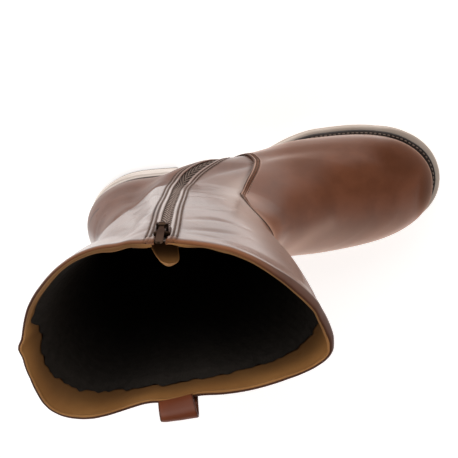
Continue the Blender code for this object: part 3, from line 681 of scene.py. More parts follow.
def leather(key, roughness, coat, grain=0.05, specular=0.5, sheen=0.0, edge_and_highlight_tone=None):
    """Burnished leather: cloudy between two browns, burnt darker where the piece's masks say, for burnish and
    painted shade, and paler, for wear and painted highlights, with grain by bump and rougher scuffs; a third
    mask dulls its coat, and a fourth, where a tone for raw edges and painted highlights is given, lays that
    over it."""
    light, dark, burnt_and_shade, wear_and_highlight = LEATHER_TONES[key]
    made, tree, shader = finish(key + "_leather", roughness, coat, 0.24, specular)
    shader.inputs["Sheen Weight"].default_value = sheen
    shader.inputs["Sheen Roughness"].default_value = 0.35
    shader.inputs["Sheen Tint"].default_value = SHEEN_TINT
    shader.inputs["Coat IOR"].default_value = COAT_IOR
    out = use_group(tree, "leather_grain")
    colour = mix_colour(tree, out["Cloud"], dark, light)
    colour = mix_colour(tree, mask_value(tree, "burnish_and_shade"), colour, burnt_and_shade)
    colour = mix_colour(tree, mask_value(tree, "wear_and_highlight"), colour, wear_and_highlight)
    if edge_and_highlight_tone:
        colour = mix_colour(tree, mask_value(tree, "raw_edge_and_highlight"), colour, edge_and_highlight_tone)
    tree.links.new(colour, shader.inputs["Base Color"])
    dull = mask_value(tree, "dull")
    rough = maths(tree, "ADD", roughness - 0.05, maths(tree, "MULTIPLY", out["Scuff"], 0.14))
    rough = maths(tree, "ADD", rough, maths(tree, "MULTIPLY", dull, 0.3))
    tree.links.new(rough, shader.inputs["Roughness"])
    if coat:
        left = maths(tree, "SUBTRACT", 1.0, dull)
        tree.links.new(maths(tree, "MULTIPLY", left, coat), shader.inputs["Coat Weight"])
    bump(tree, shader, out["Height"], grain)
    return made


def two_tone(name, group, key, roughness, specular, depth=0.0, over=None, **values):
    """Material cloudy between two tones by a shared group; over lays a third tone on it where a mask
    says, up to a share, and depth is its bump in millimetres."""
    made, tree, shader = finish(name, roughness, specular=specular)
    out = use_group(tree, group, **values)
    cloud = out["Cloud" if group == "leather_grain" else "Tone"]
    colour = mix_colour(tree, cloud, *PLAIN_TONES[key])
    if over:
        mask, share, tone = over
        colour = mix_colour(tree, maths(tree, "MULTIPLY", mask_value(tree, mask), share), colour, tone)
    tree.links.new(colour, shader.inputs["Base Color"])
    if depth:
        bump(tree, shader, out["Height"], depth)
    return made, tree, shader, out


def make_finishes():
    """All the boot's materials, by plain names."""
    GROUPS["leather_grain"] = grain_group()
    GROUPS["woven_cloth"] = weave_group()
    GROUPS["napped_cloth"] = fuzz_group()
    made = {
        "shaft": leather("shaft", 0.34, 1.0, specular=0.12, edge_and_highlight_tone=RAW_EDGE_TONE),
        "vamp": leather("vamp", 0.36, 1.0, specular=0.06, sheen=0.5, edge_and_highlight_tone=VAMP_FOOT_HIGHLIGHT),
        "facing": leather("facing", 0.6, 0.0, grain=0.04, specular=0.2),
        "loop": leather("loop", 0.42, 0.12, specular=0.15),
        "welt": leather("welt", 0.5, 0.1),
    }
    made["lining"], *_ = two_tone("napped_lining", "napped_cloth", "lining", 0.95, 0.1, depth=0.6)
    made["tape"], *_ = two_tone("zip_tape", "woven_cloth", "tape", 0.8, 0.1, depth=0.12,
                                over=("shade", 1.0, TAPE_SHADE), Pitch=1.6)
    made["thread"], *_ = two_tone("thread", "napped_cloth", "thread", 0.6, 0.3, Scale=3.0)
    made["pale_thread"], *_ = two_tone("welt_thread", "napped_cloth", "pale_thread", 0.7, 0.3, Scale=3.0)
    made["sole"], *_ = two_tone("sole_edge", "leather_grain", "sole", 0.62, 0.4, depth=0.08,
                                over=("stripe", 0.55, SOLE_STRIPE), Scale=0.6)
    made["rubber"], *_ = two_tone("dark_rubber", "leather_grain", "rubber", 0.75, 0.3, depth=0.08, Scale=0.8)
    made["metal"], tree, shader, out = two_tone("aged_brass", "leather_grain", "metal", 0.35, 0.5, Scale=0.5)
    shader.inputs["Metallic"].default_value = 1.0
    shader.inputs["Specular Tint"].default_value = METAL_GLINT
    rough = maths(tree, "ADD", 0.28, maths(tree, "MULTIPLY", out["Scuff"], 0.3))
    tree.links.new(rough, shader.inputs["Roughness"])
    return made


FINISH = make_finishes()


# Upper


def crease_out(places, medial):
    """How far creases move the skin: each a bell across its line, fading to its ends."""
    out = np.zeros(places.shape[:-1])
    for depth, width, table in CREASES:
        distance, along = line_distance(places, table)
        out -= depth * bell(distance, width) * np.sin(np.pi * np.clip(along, 0.08, 0.92)) ** 0.7
    return out * medial


def seam_rows(inside, width):
    """The two thread rows of a sewn edge band, as bells across them, by distance from its edge."""
    return bell(inside - SEAM_ROWS[0], width) + bell(inside - SEAM_ROWS[1], width)


def band_out(inside):
    """Height of a sewn edge band by distance from its edge: a low step with two thread grooves."""
    return 0.4 * (1 - smooth((inside - 4.2) / 1.2)) - 0.55 * seam_rows(inside, 0.5)


def zip_side(aside, count=160):
    """Section and angle along the zip at a share of its half width to one side."""
    line = drawn_line(ZIP_LINE, count)
    run = np.linspace(0, 1, count)
    width = ZIP_HALF * np.sqrt(np.clip(1 - (1 - run / ZIP_FOOT_ROUND).clip(0, 1) ** 2, 0, 1))
    return side_place(line + across_of(line) * (aside * width)[:, None], 1)


def zip_gap(v):
    """Angles of the zip's front and back edges at sections v, and how open it is there, 0 to 1."""
    v_front, u_front = zip_side(1.0)
    v_back, u_back = zip_side(-1.0)
    front = np.interp(v, v_front, u_front)
    back = np.interp(v, v_back, u_back)
    foot = max(v_front[0], v_back[0])
    start = min(u_front[0], u_back[0])
    open_share = smooth((v - foot) / 0.12)
    return np.where(v < foot, start, front), np.where(v < foot, start, back), open_share


def around_zip(v, gap):
    """First and last angle of a turn around the boot that stays a gap away from the zip's edges."""
    front, back, open_share = zip_gap(v)
    first = back + gap * open_share / around_length(v, back)
    return first, front + 2 * np.pi - gap * open_share / around_length(v, front)


def section_rows(first, last, count):
    """Sections spaced evenly in millimetres up the skin."""
    v = np.linspace(first, last, 600)
    length = run_along(wall(v, ROW_U))
    return np.interp(np.linspace(0, length[-1], count), length, v)


def vamp_inside(places):
    """Millimetres inside the vamp's seam in the side view, negative behind it."""
    distance, _ = line_distance(places, VAMP_SEAM)
    line = drawn_line(VAMP_SEAM, 60)
    seam_x = np.interp(places[..., 1], line[:, 1], line[:, 0])
    sign = np.where((places[..., 0] > seam_x) & (places[..., 1] < 118), 1.0, -1.0)
    return distance * sign


def throat_rise(ends, middle, to_middle):
    """Section between a panel's ends and its middle, by a quarter sine that is full half way in."""
    return ends + (middle - ends) * np.sin(np.pi / 2 * np.clip(to_middle * 2.0, 0, 1))


def throat_at(angle):
    """Section of the vamp's throat at angles, and where it runs."""
    (v_m, u_m), (v_l, u_l) = (side_place(VAMP_SEAM[-1], side) for side in (1, -1))
    to_middle = 1 - np.abs(angle) / np.where(angle > 0, u_m, -u_l)
    throat = throat_rise(np.where(angle > 0, v_m, v_l), VAMP_THROAT_V, to_middle)
    return throat, smooth(to_middle / 0.05)


def vamp_edges(side, count):
    """Section and angle along the vamp's seam, from the sole to its top corner."""
    return side_place(drawn_line(VAMP_SEAM, count), side)


def rolled_edge(tucked):
    """Samples across a rolled and sewn edge: way in from the edge, and depth; tucked ones come first."""
    turns = ROLL_TURNS[::-1]
    way = np.concatenate([tucked, -ROLL * np.sin(turns), BAND_SAMPLES])
    depth = np.concatenate([[-2 * ROLL] * len(tucked), -ROLL * (1 - np.cos(turns)),
                            np.zeros(len(BAND_SAMPLES))])
    return way, depth


def build_shaft():
    """Outer leather: a grid from the zip's back edge around the boot to its front edge, rolled under
    at the collar and along the zip, with sewn bands, creases and the collar's turned band."""
    rows = np.concatenate([section_rows(SHAFT_FOOT_V, COLLAR, SHAFT_ROWS), np.full(RIM_ROWS, COLLAR)])
    edge, edge_in = rolled_edge([3.0, 1.2])
    front, back, open_share = zip_gap(rows)
    open_share = open_share[:, None]
    wide = np.maximum(open_share, 0.02)
    reach = np.where(np.arange(len(edge)) < len(edge) - len(BAND_SAMPLES), edge * wide, edge)
    u_back = back[:, None] + reach / around_length(rows, back)[:, None]
    u_front = front[:, None] + 2 * np.pi - reach[:, ::-1] / around_length(rows, front)[:, None]
    inner = np.linspace(0, 1, SHAFT_COLUMNS + 2)[1:-1]
    u = np.hstack([u_back, u_back[:, -1:] + (u_front[:, :1] - u_back[:, -1:]) * inner, u_front])
    plain = np.zeros((len(rows), SHAFT_COLUMNS))
    fold_in = np.hstack([edge_in * wide, plain, edge_in[::-1] * wide])
    in_band = np.broadcast_to(edge.clip(0), u_back.shape)
    inside = np.hstack([in_band, plain + 99, in_band[:, ::-1]])
    # The last rows roll inwards over the rim, from the tilt at which the wall arrives there
    below = (COLLAR - rows)[:, None] * RIM_RISE
    band, lean, _, _ = collar_at(u)
    rise, roll_in = np.zeros(u.shape), np.zeros(u.shape)
    tilt = np.arctan(2 * lean[-RIM_ROWS:] / (1.8 * band[-RIM_ROWS:]))
    turn = tilt + (np.pi - tilt) * np.arange(1, RIM_ROWS + 1)[:, None] / RIM_ROWS
    rise[-RIM_ROWS:] = COLLAR_ROLL * (np.sin(turn) - np.sin(tilt))
    roll_in[-RIM_ROWS:] = -COLLAR_ROLL * (np.cos(tilt) - np.cos(turn))
    v = rows[:, None] + rise / RIM_RISE
    # Depths: the collar, the rolls, the sewn bands with their bars and flaps, the creases and the vamp
    base = wall(rows[:, None], u)
    places = base[..., [0, 2]]
    medial = smooth((base[..., 1] + 6) / 14)
    seam_in = vamp_inside(places)
    sewn = np.where(fold_in < 0, 0.4, band_out(inside)) * open_share
    # Bars: two short grooves beside the zip below the rim, darkened in the masks as painted shade
    bars = (bell(below - 4.4, 0.8) + bell(below - 7.4, 0.8)) * smooth((5.4 - inside) / 1.4)
    flap = bell(below - 2.2, 1.8) * bell(inside - 2.2, 2.6)
    out = collar_out(below, u) + np.maximum(roll_in + fold_in, -2.6) + sewn + 0.9 * flap - 0.4 * bars
    out = out + crease_out(places, medial) * (fold_in == 0) - 0.25 * smooth((seam_in + 1.0) / 5.0)
    points = skin(v, u, out)
    # Masks: dark seams and edges; painted shade at the foot, on the turned band, in the bars and under the
    # ankle fold, and painted shadows behind the vamp's seam and throat; dull counter and bands; painted
    # highlights on the lips, flaps, shin and instep
    # The turned band is darkened in the masks as painted shade, where it faces up
    turned = smooth((1.15 * band - below) / 1.6)
    grooves = seam_rows(inside, 0.85).clip(0, 1) * open_share
    # Painted highlights on the rolled lips beside the zip and on the ridge between its thread rows
    lips = (0.4 * bell(inside - 0.5, 0.5) + 0.3 * bell(inside - 3.0, 0.45)) * (fold_in == 0) * open_share
    # Painted shade along the shaft's foot, next to the welt
    low = 0.7 * smooth((1.2 - rows) / 1.2)[:, None]
    # Just under the ankle fold the counter gets painted shade in the burnish mask
    fold_z = np.interp(places[..., 0], *ANKLE_FOLD.T)
    under = line_distance(places, ANKLE_FOLD)[0] * np.sign(fold_z - places[..., 1])
    counter = smooth((100 - places[..., 0]) / 30) * medial
    counter_seam = bell(line_distance(places, COUNTER_SEAM)[0], 0.7) * medial
    # Painted shadow of the vamp's edge on the shaft, just behind its seam
    vamp_edge_shadow = bell(seam_in + 1.4, 1.2)
    angle = (u + np.pi) % (2 * np.pi) - np.pi
    degrees = np.degrees(angle)
    section = rows[:, None]
    throat, on_throat = throat_at(angle)
    # Painted shadow on the shaft just above the vamp's throat
    throat_shadow = bell((section - throat) * rise_length(section, u) - 1.3, 1.2) * on_throat
    burnish_and_shade = (0.6 * turned + 0.3 * bell(below - band, 0.9) + grooves + 0.8 * bars + low + vamp_edge_shadow
               + throat_shadow + 0.4 * bell(under - 0.8, 0.9) * counter + 0.8 * counter_seam)
    burnish_and_shade = burnish_and_shade.clip(0, 1) * (1 - flap)
    corner = smooth((30 - degrees) / 10) * smooth((degrees + 20) / 20) * smooth((section - 12.2) / 0.8)
    dull = np.max([0.7 * smooth(under / 1.5) * counter, turned, grooves, bars, flap, throat_shadow, vamp_edge_shadow,
                   0.8 * corner], axis=0)
    # Painted highlight over the shaft's front-medial face, weaker near the collar
    shin_highlight = smooth((72 - degrees) / 18) * smooth((degrees - 24) / 12)
    shin_highlight = shin_highlight * (1 - 0.5 * smooth((section - 11.5) / 1.5))
    # Painted highlight on the shaft just above the instep
    instep_highlight = bell(section - 7.6, 1.0) * bell(degrees - 68, 14)
    # Painted highlights: lips, shin and instep away from the turned band, and the flaps, far stronger on the
    # flap behind the zip
    wear_and_highlight = (lips + 0.6 * shin_highlight + 0.3 * instep_highlight) * (1 - turned) + np.where(u < np.pi, 0.45, 0.08) * flap
    raw_edge = 0.75 * turned * smooth((degrees - 42) / 30) * smooth((150 - degrees) / 30) * (1 - 0.6 * flap)
    grid_piece("shaft_leather", points, FINISH["shaft"], "upper_leather", nodes=("upper",), weld=True,
               masks={"burnish_and_shade": burnish_and_shade, "dull": dull, "wear_and_highlight": wear_and_highlight, "raw_edge_and_highlight": raw_edge})


def build_vamp():
    """Front panel: rows run from the medial seam over the front to the lateral one and climb from the
    sole to the throat; its edge is rolled under, with a sewn band beside it."""
    v_m, u_m = vamp_edges(1, VAMP_ROWS)
    v_l, u_l = vamp_edges(-1, VAMP_ROWS)
    middle = np.linspace(VAMP_FOOT_V, VAMP_THROAT_V, VAMP_ROWS)
    edge, edge_in = rolled_edge([2.0])
    start = u_m[:, None] - edge / around_length(v_m, u_m)[:, None]
    stop = u_l[:, None] + edge[::-1] / around_length(v_l, u_l)[:, None]
    share = np.linspace(0, 1, VAMP_COLUMNS + 2)[1:-1]
    u = np.hstack([start, start[:, -1:] + (stop[:, :1] - start[:, -1:]) * share, stop])
    to_middle = 1 - np.abs(u / np.where(u > 0, u_m[:, None], -u_l[:, None])).clip(0, 1)
    v = throat_rise(np.where(u > 0, v_m[:, None], v_l[:, None]), middle[:, None], to_middle)
    fold_in = np.hstack([edge_in, np.zeros(VAMP_COLUMNS), edge_in[::-1]])
    seam_in = np.hstack([edge.clip(0), np.full(VAMP_COLUMNS, 99.0), edge.clip(0)[::-1]])
    # The throat's rows roll under in the same way as the seam's columns
    top = np.concatenate([np.zeros(VAMP_ROWS), ROLL * np.sin(ROLL_TURNS), [-2.0]])
    top_in = np.concatenate([np.zeros(VAMP_ROWS), -ROLL * (1 - np.cos(ROLL_TURNS)), [-2 * ROLL]])
    v = np.vstack([v, np.repeat(v[-1:], len(ROLL_TURNS) + 1, axis=0)])
    u = np.vstack([u, np.repeat(u[-1:], len(ROLL_TURNS) + 1, axis=0)])
    v = v + top[:, None] / rise_length(v, u)
    base = wall(v, u)
    rim_inside = np.linalg.norm(base - base[VAMP_ROWS - 1], axis=-1)
    rim_inside[VAMP_ROWS:] = 0
    inside = np.minimum(seam_in, rim_inside)
    sewn = np.where(fold_in < 0, 0.4, band_out(inside))
    x, y, z = np.moveaxis(base, -1, 0)
    aside = wall_normal(v, u)[..., 1]
    lift = VAMP_LIFT - 0.85 * smooth((v - 8.5) / 0.7) + 1.1 * smooth(-aside / 0.5) * smooth((x - 150) / 30)
    points = skin(v, u, lift + np.maximum(fold_in + top_in[:, None], -2 * ROLL) + sewn)
    # Masks by place: the toe and sewn band are darker, with painted shade in a hollow at the throat; the
    # lateral side is paler as a painted reflection, and the foot line, lips, medial side, a streak and the V
    # corner as painted highlights
    sewn_band = smooth((inside - 1.2) / 0.5) * smooth((4.9 - inside) / 0.5)
    toe = np.maximum(smooth((x - 200) / 60) * smooth((y - 2) / 22), 1.2 * smooth((x - 252) / 20))
    # Painted reflection: the vamp's lateral-facing side is paler
    lateral = smooth((-aside - 0.05) / 0.75)
    # Faint painted highlight on the vamp's medial-facing side, behind the toe
    medial = smooth((aside - 0.55) / 0.35) * smooth((245 - x) / 40)
    at_tip = smooth((x - 232) / 25)
    # Painted highlight along the foot line next to the welt, narrower and fainter at the tip
    foot = bell(v - 1.15 + 0.3 * at_tip, 0.85 - 0.4 * at_tip) * smooth((x - 155) / 45)
    foot = foot * smooth((aside + 0.1) / 0.3)
    # Painted highlight streak over the vamp's lateral side
    streak_highlight = bell(line_distance(base[..., :2], VAMP_HIGHLIGHT_STREAK)[0], 6.0)
    # Painted highlight at the V corner of the medial seam
    corner = bell(np.hypot(x - 121, z - 113.7), 7.0) * (y > 0)
    # Painted shade in the hollow where the shaft's front meets the vamp's throat
    hollow_shade = bell(np.hypot(x - 141, z - 107.5), 7.0) * (y > 0)
    burnish_and_shade = (0.3 * sewn_band + 0.6 * seam_rows(inside, 0.6) + 0.9 * bell(inside, 0.5)
               + 0.5 * toe * (1 - foot) + 0.25 * hollow_shade).clip(0, 0.92)
    # Painted highlights on the rolled lip beside the seam and a faint line past the sewn band
    lips = (0.45 * bell(seam_in - 0.8, 0.45) + 0.15 * bell(seam_in - 5.5, 0.45)) * (fold_in == 0)
    wear_and_highlight = (lips + 0.33 * lateral * (1 - 0.4 * at_tip) + 0.04 * medial + 0.14 * streak_highlight + 0.12 * corner)
    top_side = smooth((y + 14) / 26) * smooth((x - 134) / 22) * (1 - smooth((aside - 0.35) / 0.35))
    top_side = top_side * (0.6 + 0.25 * smooth((x - 160) / 20))
    dull = 0.5 + 0.5 * np.max([0.8 * sewn_band, smooth(1.5 * toe), top_side], axis=0)
    dull = dull + (0.42 - dull) * smooth((-aside - 0.1) / 0.4) * (1 - smooth((x - 182) / 45))
    flank = smooth((aside - 0.4) / 0.3) * smooth((165 - x) / 25) * (inside > 5)
    dull = (0.2 + 0.8 * dull) * (1 - foot * (1 - 0.7 * at_tip)) * (1 - 0.8 * flank)
    raw_edge_and_highlight = 0.45 * foot * (1 - 0.55 * at_tip)
    grid_piece("vamp_leather", points, FINISH["vamp"], "vamp_leather", nodes=("vamp",), inward=True,
               masks={"burnish_and_shade": burnish_and_shade, "wear_and_highlight": wear_and_highlight.clip(0, 0.8), "dull": dull, "raw_edge_and_highlight": raw_edge_and_highlight})


# Inside


def build_facing():
    """Tan facing inside the collar: its lip rolls over from the rim, fuller behind the zip, and its band
    hangs rippled to the depth in the collar's table."""
    first, last = around_zip(np.array([COLLAR]), FACING_GAP)
    u = first + (last - first) * np.linspace(0, 1, LINING_COLUMNS)
    turned = np.degrees(u) % 360
    behind_zip = smooth((turned - 92) / 10) * smooth((172 - turned) / 12)
    ahead_zip = smooth((88 - turned) / 10) * smooth((turned - 4) / 16)
    lip = FACING_LIP + (0.3 + 0.45 * bell(turned - 102, 14)) * behind_zip
    roll = np.tile(np.concatenate([[0.0], ROLL_TURNS])[:, None], LINING_COLUMNS)
    hang = np.tile(np.linspace(0.02, 1, FACING_ROWS)[:, None], LINING_COLUMNS)
    below = np.vstack([-0.15 - FACING_LIP * np.sin(roll), hang * collar_at(u)[3]])
    inwards = FACING_DEPTH + np.vstack([lip * (1 - np.cos(roll)), np.tile(2 * lip, (len(hang), 1))])
    near_zip = bell((u - np.pi / 2 + np.pi) % (2 * np.pi) - np.pi, 0.35)
    ripple = 0.2 * np.sin(5 * u + 1.0) + 0.1 * np.sin(13 * u) + 0.7 * near_zip * np.sin(26 * u + 2.0)
    out = collar_out(below, u) - inwards - ripple * smooth(inwards - 1)
    points = skin(COLLAR - below / RIM_RISE, u, out)
    # Painted shade: the facing darkens down its band and on its lip beside the zip; painted highlights on the
    # lip's roll behind the zip and along the band's top
    lip_shade = np.tile(0.7 * behind_zip + 0.6 * ahead_zip, (len(roll), 1))
    shade = np.vstack([lip_shade, 0.75 * smooth(hang * 1.2 - 0.1)])
    wear_and_highlight = np.vstack([0.35 * behind_zip * smooth((roll - 2.0) / 0.6),
                      0.2 * smooth(1 - hang * 4) * (1 - ahead_zip)])
    grid_piece("collar_facing", points, FINISH["facing"], "guard_leather", inward=True,
               masks={"burnish_and_shade": shade, "wear_and_highlight": wear_and_highlight})


def build_lining():
    """Napped lining below the facing: lumpy, with an uneven upper edge that starts under the facing."""
    rows = section_rows(LINING_FOOT_V, COLLAR, LINING_ROWS)[::-1]
    share = ((rows - LINING_FOOT_V) / (COLLAR - LINING_FOOT_V))[:, None]
    first, last = around_zip(rows, LINING_GAP)
    u = first[:, None] + (last - first)[:, None] * np.linspace(0, 1, LINING_COLUMNS)
    rag = 0.9 * np.sin(23 * u + 0.4) + 0.7 * np.sin(41 * u) + 0.6 * np.sin(67 * u + 2.0)
    top = COLLAR - (collar_at(u)[3] - LINING_OVERLAP + rag) / RIM_RISE
    v = LINING_FOOT_V + (top - LINING_FOOT_V) * share
    lump = 0.12 * np.sin(31 * u + 3 * v) * np.sin(19 * v) + 0.07 * np.sin(53 * u - 9 * v + 1.0)
    start = smooth(np.linspace(0, 1, LINING_ROWS) * 24)[:, None]
    points = skin(v, u, collar_out((COLLAR - v) * RIM_RISE, u) - LINING_DEPTH - (1.3 + lump) * start)
    grid_piece("napped_lining", points, FINISH["lining"], "insole_cover", inward=True)


# Sole, welt and heel


def offset_plan(plan, distance):
    """Closed outline moved out along its own normals."""
    along = np.roll(plan, -1, axis=0) - np.roll(plan, 1, axis=0)
    normal = unit(np.stack([along[:, 1], -along[:, 0]], axis=-1))
    return plan + np.reshape(distance, (-1, 1)) * normal


def sole_bottom(x):
    """Underside of the sole: level heel seat, eased arch, flat tread and a parabola up the toe."""
    arch = 1 - smooth((x - ARCH_START_X) / (SOLE_FLAT_X[0] - ARCH_START_X))
    spring = np.clip((x - SOLE_FLAT_X[1]) / (SOLE_TIP_X - SOLE_FLAT_X[1]), 0.0, 1.1) ** 2
    return HEEL_HEIGHT * arch + TOE_SPRING * spring


def ring_at(plan, inset, z):
    """Outline moved in by a distance and lifted to heights."""
    moved = offset_plan(plan, -inset)
    return np.column_stack([moved, np.broadcast_to(z, len(moved))])


def build_sole():
    """Sole, welt and heel, all made from rings around the sole's outline."""
    u = np.arange(SOLE_POINTS) * (2 * np.pi / SOLE_POINTS)
    share = (1 + np.cos(u)) / 2
    welt_out, sole_out = (np.interp(share, EDGE[:, 0], EDGE[:, k]) for k in (1, 2))
    trim = LATERAL_TRIM * smooth((-np.sin(u) - 0.1) / 0.5) * smooth((share - 0.7) / 0.2)
    welt_edge = offset_plan(wall(WELT_TOP_V, u)[:, :2], 0.5 + welt_out)
    sole_edge = offset_plan(welt_edge, sole_out - trim)
    build_outsole(sole_edge)
    build_welt(u, welt_edge)
    build_heel(sole_edge)


def build_outsole(edge):
    """Outsole: rings from the middle of the underside, out over the rounded edge with its groove, and
    in again over the top; ribs cross the tread."""
    bottom = sole_bottom(edge[:, 0])
    thick = feather_height(edge[:, 0]) - 0.3 - bottom
    spine = (edge + edge[-np.arange(len(edge))]) / 2
    rim = offset_plan(edge, -OUTSOLE_RINGS[0][0])
    rings, stripe = [], []
    for share in np.linspace(0, 1, TREAD_RINGS, endpoint=False):
        plan = spine + (rim - spine) * share
        x, y = plan.T
        wave = np.sin(x * 2 * np.pi / RIB_PITCH + 0.9 * np.abs(np.sin(y * 0.28)))
        tread = smooth((x - TREAD_X[0]) / 8) * smooth((TREAD_X[1] - x) / 8) * smooth((0.93 - share) / 0.03)
        ribs = RIB_DEPTH * smooth((wave - 0.2) / 0.4) * tread
        rings.append(np.column_stack([plan, sole_bottom(x) + ribs]))
        stripe.append(0.0)
    for inset, share, up, tone in OUTSOLE_RINGS:
        rings.append(ring_at(edge, inset, bottom + thick * share + up))
        stripe.append(tone)
    points = np.stack(rings)
    tone = np.array(stripe)[:, None] + 0.75 * smooth((points[..., 0] - 120) / 60)
    grid_piece("outsole", points, FINISH["sole"], "sole_rubber", wrap=True, nodes=("sole",),
               masks={"stripe": tone.clip(0, 1)})


def build_welt(u, edge):
    """Welt: a flat strip around the foot of the upper, its edge rounded and pressed between stitches,
    and paler behind; stitches run around its forefoot."""
    low, high = wall(0.0, u), wall(WELT_TOP_V, u)
    inner, base = feather_height(low[:, 0]), feather_height(edge[:, 0])
    press = WELT_PRESS * np.sin(run_along(edge) * 2 * np.pi / WELT_PRESS_PITCH)
    rings = [ring_at(low[:, :2], -0.5, inner)]
    for inset, up in WELT_RINGS:
        rings.append(ring_at(edge, inset, base + up + (press if up > 1.9 else 0)))
    rings.append(ring_at(high[:, :2], -0.6, inner + 2.4))
    rings.append(ring_at(high[:, :2], -0.1, inner + 1.6))
    points = np.stack(rings)
    on_edge = np.arange(len(rings)) <= len(WELT_RINGS)
    grid_piece("welt_strip", points, FINISH["welt"], "welt_leather", wrap=True, nodes=("welt",),
               masks={"wear_and_highlight": smooth((118 - points[..., 0]) / 20) * on_edge[:, None]})
    row = np.roll(ring_at(edge, WELT_STITCH_INSET, base + 2.5), len(u) // 2, axis=0)
    row = row[row[:, 0] > WELT_STITCH_X]
    upright = np.broadcast_to(np.array([0.0, 0.0, 1.0]), row.shape)
    threads("welt_stitches", [(row, upright)], WELT_STITCH, FINISH["pale_thread"], "welt_leather")


def heel_ring(edge, inset, z):
    """D-shaped ring at a height: the sole's own outline behind the breast, moved in, closed by a
    straight breast."""
    plan = offset_plan(edge, -HEEL_INSET - inset)
    plan = plan[plan[:, 0] < HEEL_BREAST_X]
    first, last = plan[0].copy(), plan[-1].copy()
    first[0] = last[0] = HEEL_BREAST_X
    plan = even_points(np.vstack([first, plan, last, first]), HEEL_POINTS + 1)[:-1]
    return np.column_stack([plan, np.full(HEEL_POINTS, z)])


def capped(rings):
    """Rings in one stack, closed at both ends with rings drawn in towards their middles."""
    middles = rings[0].mean(axis=0), rings[-1].mean(axis=0)
    below = [middles[0] + (rings[0] - middles[0]) * share for share in (0.002, 0.5)]
    above = [middles[1] + (rings[-1] - middles[1]) * share for share in (0.5, 0.002)]
    return np.stack(below + rings + above)


def build_heel(edge):
    """Stacked heel with fine layer lines, and the rubber top lift under it."""
    lift_top = HEEL_TAPER * (1 - TOP_LIFT / HEEL_HEIGHT)
    heights = np.linspace(TOP_LIFT + 0.3, HEEL_HEIGHT - 0.3, HEEL_RINGS)
    lines = bell((heights - TOP_LIFT) % HEEL_LAYER - HEEL_LAYER / 2, 0.35)
    insets = lift_top * (1 - (heights - TOP_LIFT) / (HEEL_HEIGHT - TOP_LIFT)) + 0.12 * lines
    rings = [heel_ring(edge, inset, z) for inset, z in zip(insets, heights)]
    grid_piece("heel_stack", capped(rings), FINISH["sole"], "heel_stack", wrap=True, nodes=("heel",),
               masks={"stripe": np.repeat(np.pad(lines, 2), HEEL_POINTS)})
    lift = ((HEEL_TAPER + 1.6, 0.0), (HEEL_TAPER + 0.9, 0.0), (HEEL_TAPER + 0.35, 0.25), (HEEL_TAPER, 0.9),
            (lift_top, TOP_LIFT - 0.4), (lift_top + 0.4, TOP_LIFT))
    rings = [heel_ring(edge, inset, z) for inset, z in lift]
    grid_piece("top_lift", capped(rings), FINISH["rubber"], "top_lift_rubber", wrap=True, nodes=("top_lift",))


# Threads


def threads(name, lines, size, look, slot):
    """Stitches: short rods with round ends, one every pitch along each line, lying on its surface;
    a rod is a ring of six carried along a row of stations whose radius swells and shuts."""
    pitch, length, radius = size
    stations = np.array([-0.5, -0.42, -0.2, 0.2, 0.42, 0.5])
    swell = np.array([0.05, 0.7, 1.0, 1.0, 0.7, 0.05])
    sink = -0.9 * (np.abs(stations) * 2) ** 2
    turn = np.arange(6) * (2 * np.pi / 6)
    rods = []
    for line, normal in lines:
        run = run_along(line)
        at = np.arange(pitch / 2, run[-1] - pitch / 2, pitch)[:, None] + stations * length
        centre = np.stack([np.interp(at, run, line[:, k]) for k in range(3)], axis=-1)
        up = unit(np.stack([np.interp(at, run, normal[:, k]) for k in range(3)], axis=-1))
        side = unit(np.cross(up, unit(centre[:, -1:] - centre[:, :1])))
        centre = centre + up * (radius * (0.35 + sink))[:, None]
        ring = side[:, :, None] * np.cos(turn)[:, None] + up[:, :, None] * np.sin(turn)[:, None]
        rods.append(centre[:, :, None] + ring * (radius * swell)[:, None, None])
    points = np.concatenate(rods)
    one = grid_faces(len(stations), len(turn), wrap=True, inward=True)
    first = np.arange(len(points)) * len(stations) * len(turn)
    faces = (one + first[:, None, None]).reshape(-1, 4)
    piece(name, points.reshape(-1, 3), faces, look, slot, sharp=180)


def surface_line(v, u, out):
    """Line on the skin with its normals, for threads."""
    return skin(v, u, out), wall_normal(v, u)


def build_seam_threads():
    """Thread rows: two beside each edge of the zip and two beside the vamp's seam on each side."""
    lines = []
    for row in SEAM_ROWS:
        for way in (-1, 1):
            v, u = (values[8:-8] for values in zip_side(-way, 240))
            u = u + way * row / around_length(v, u)
            lines.append(surface_line(v, u, collar_out((COLLAR - v) * RIM_RISE, u) - 0.1))
    threads("zip_stitches", lines, ZIP_STITCH, FINISH["thread"], "upper_leather")
    lines = []
    for side in (1, -1):
        v, u = (values[6:-2] for values in vamp_edges(side, 160))
        for row in SEAM_ROWS:
            lines.append(surface_line(v, u - side * row / around_length(v, u), VAMP_LIFT - 0.1))
    threads("vamp_stitches", lines, VAMP_STITCH, FINISH["thread"], "vamp_leather")


# Zip, guard and pull loop


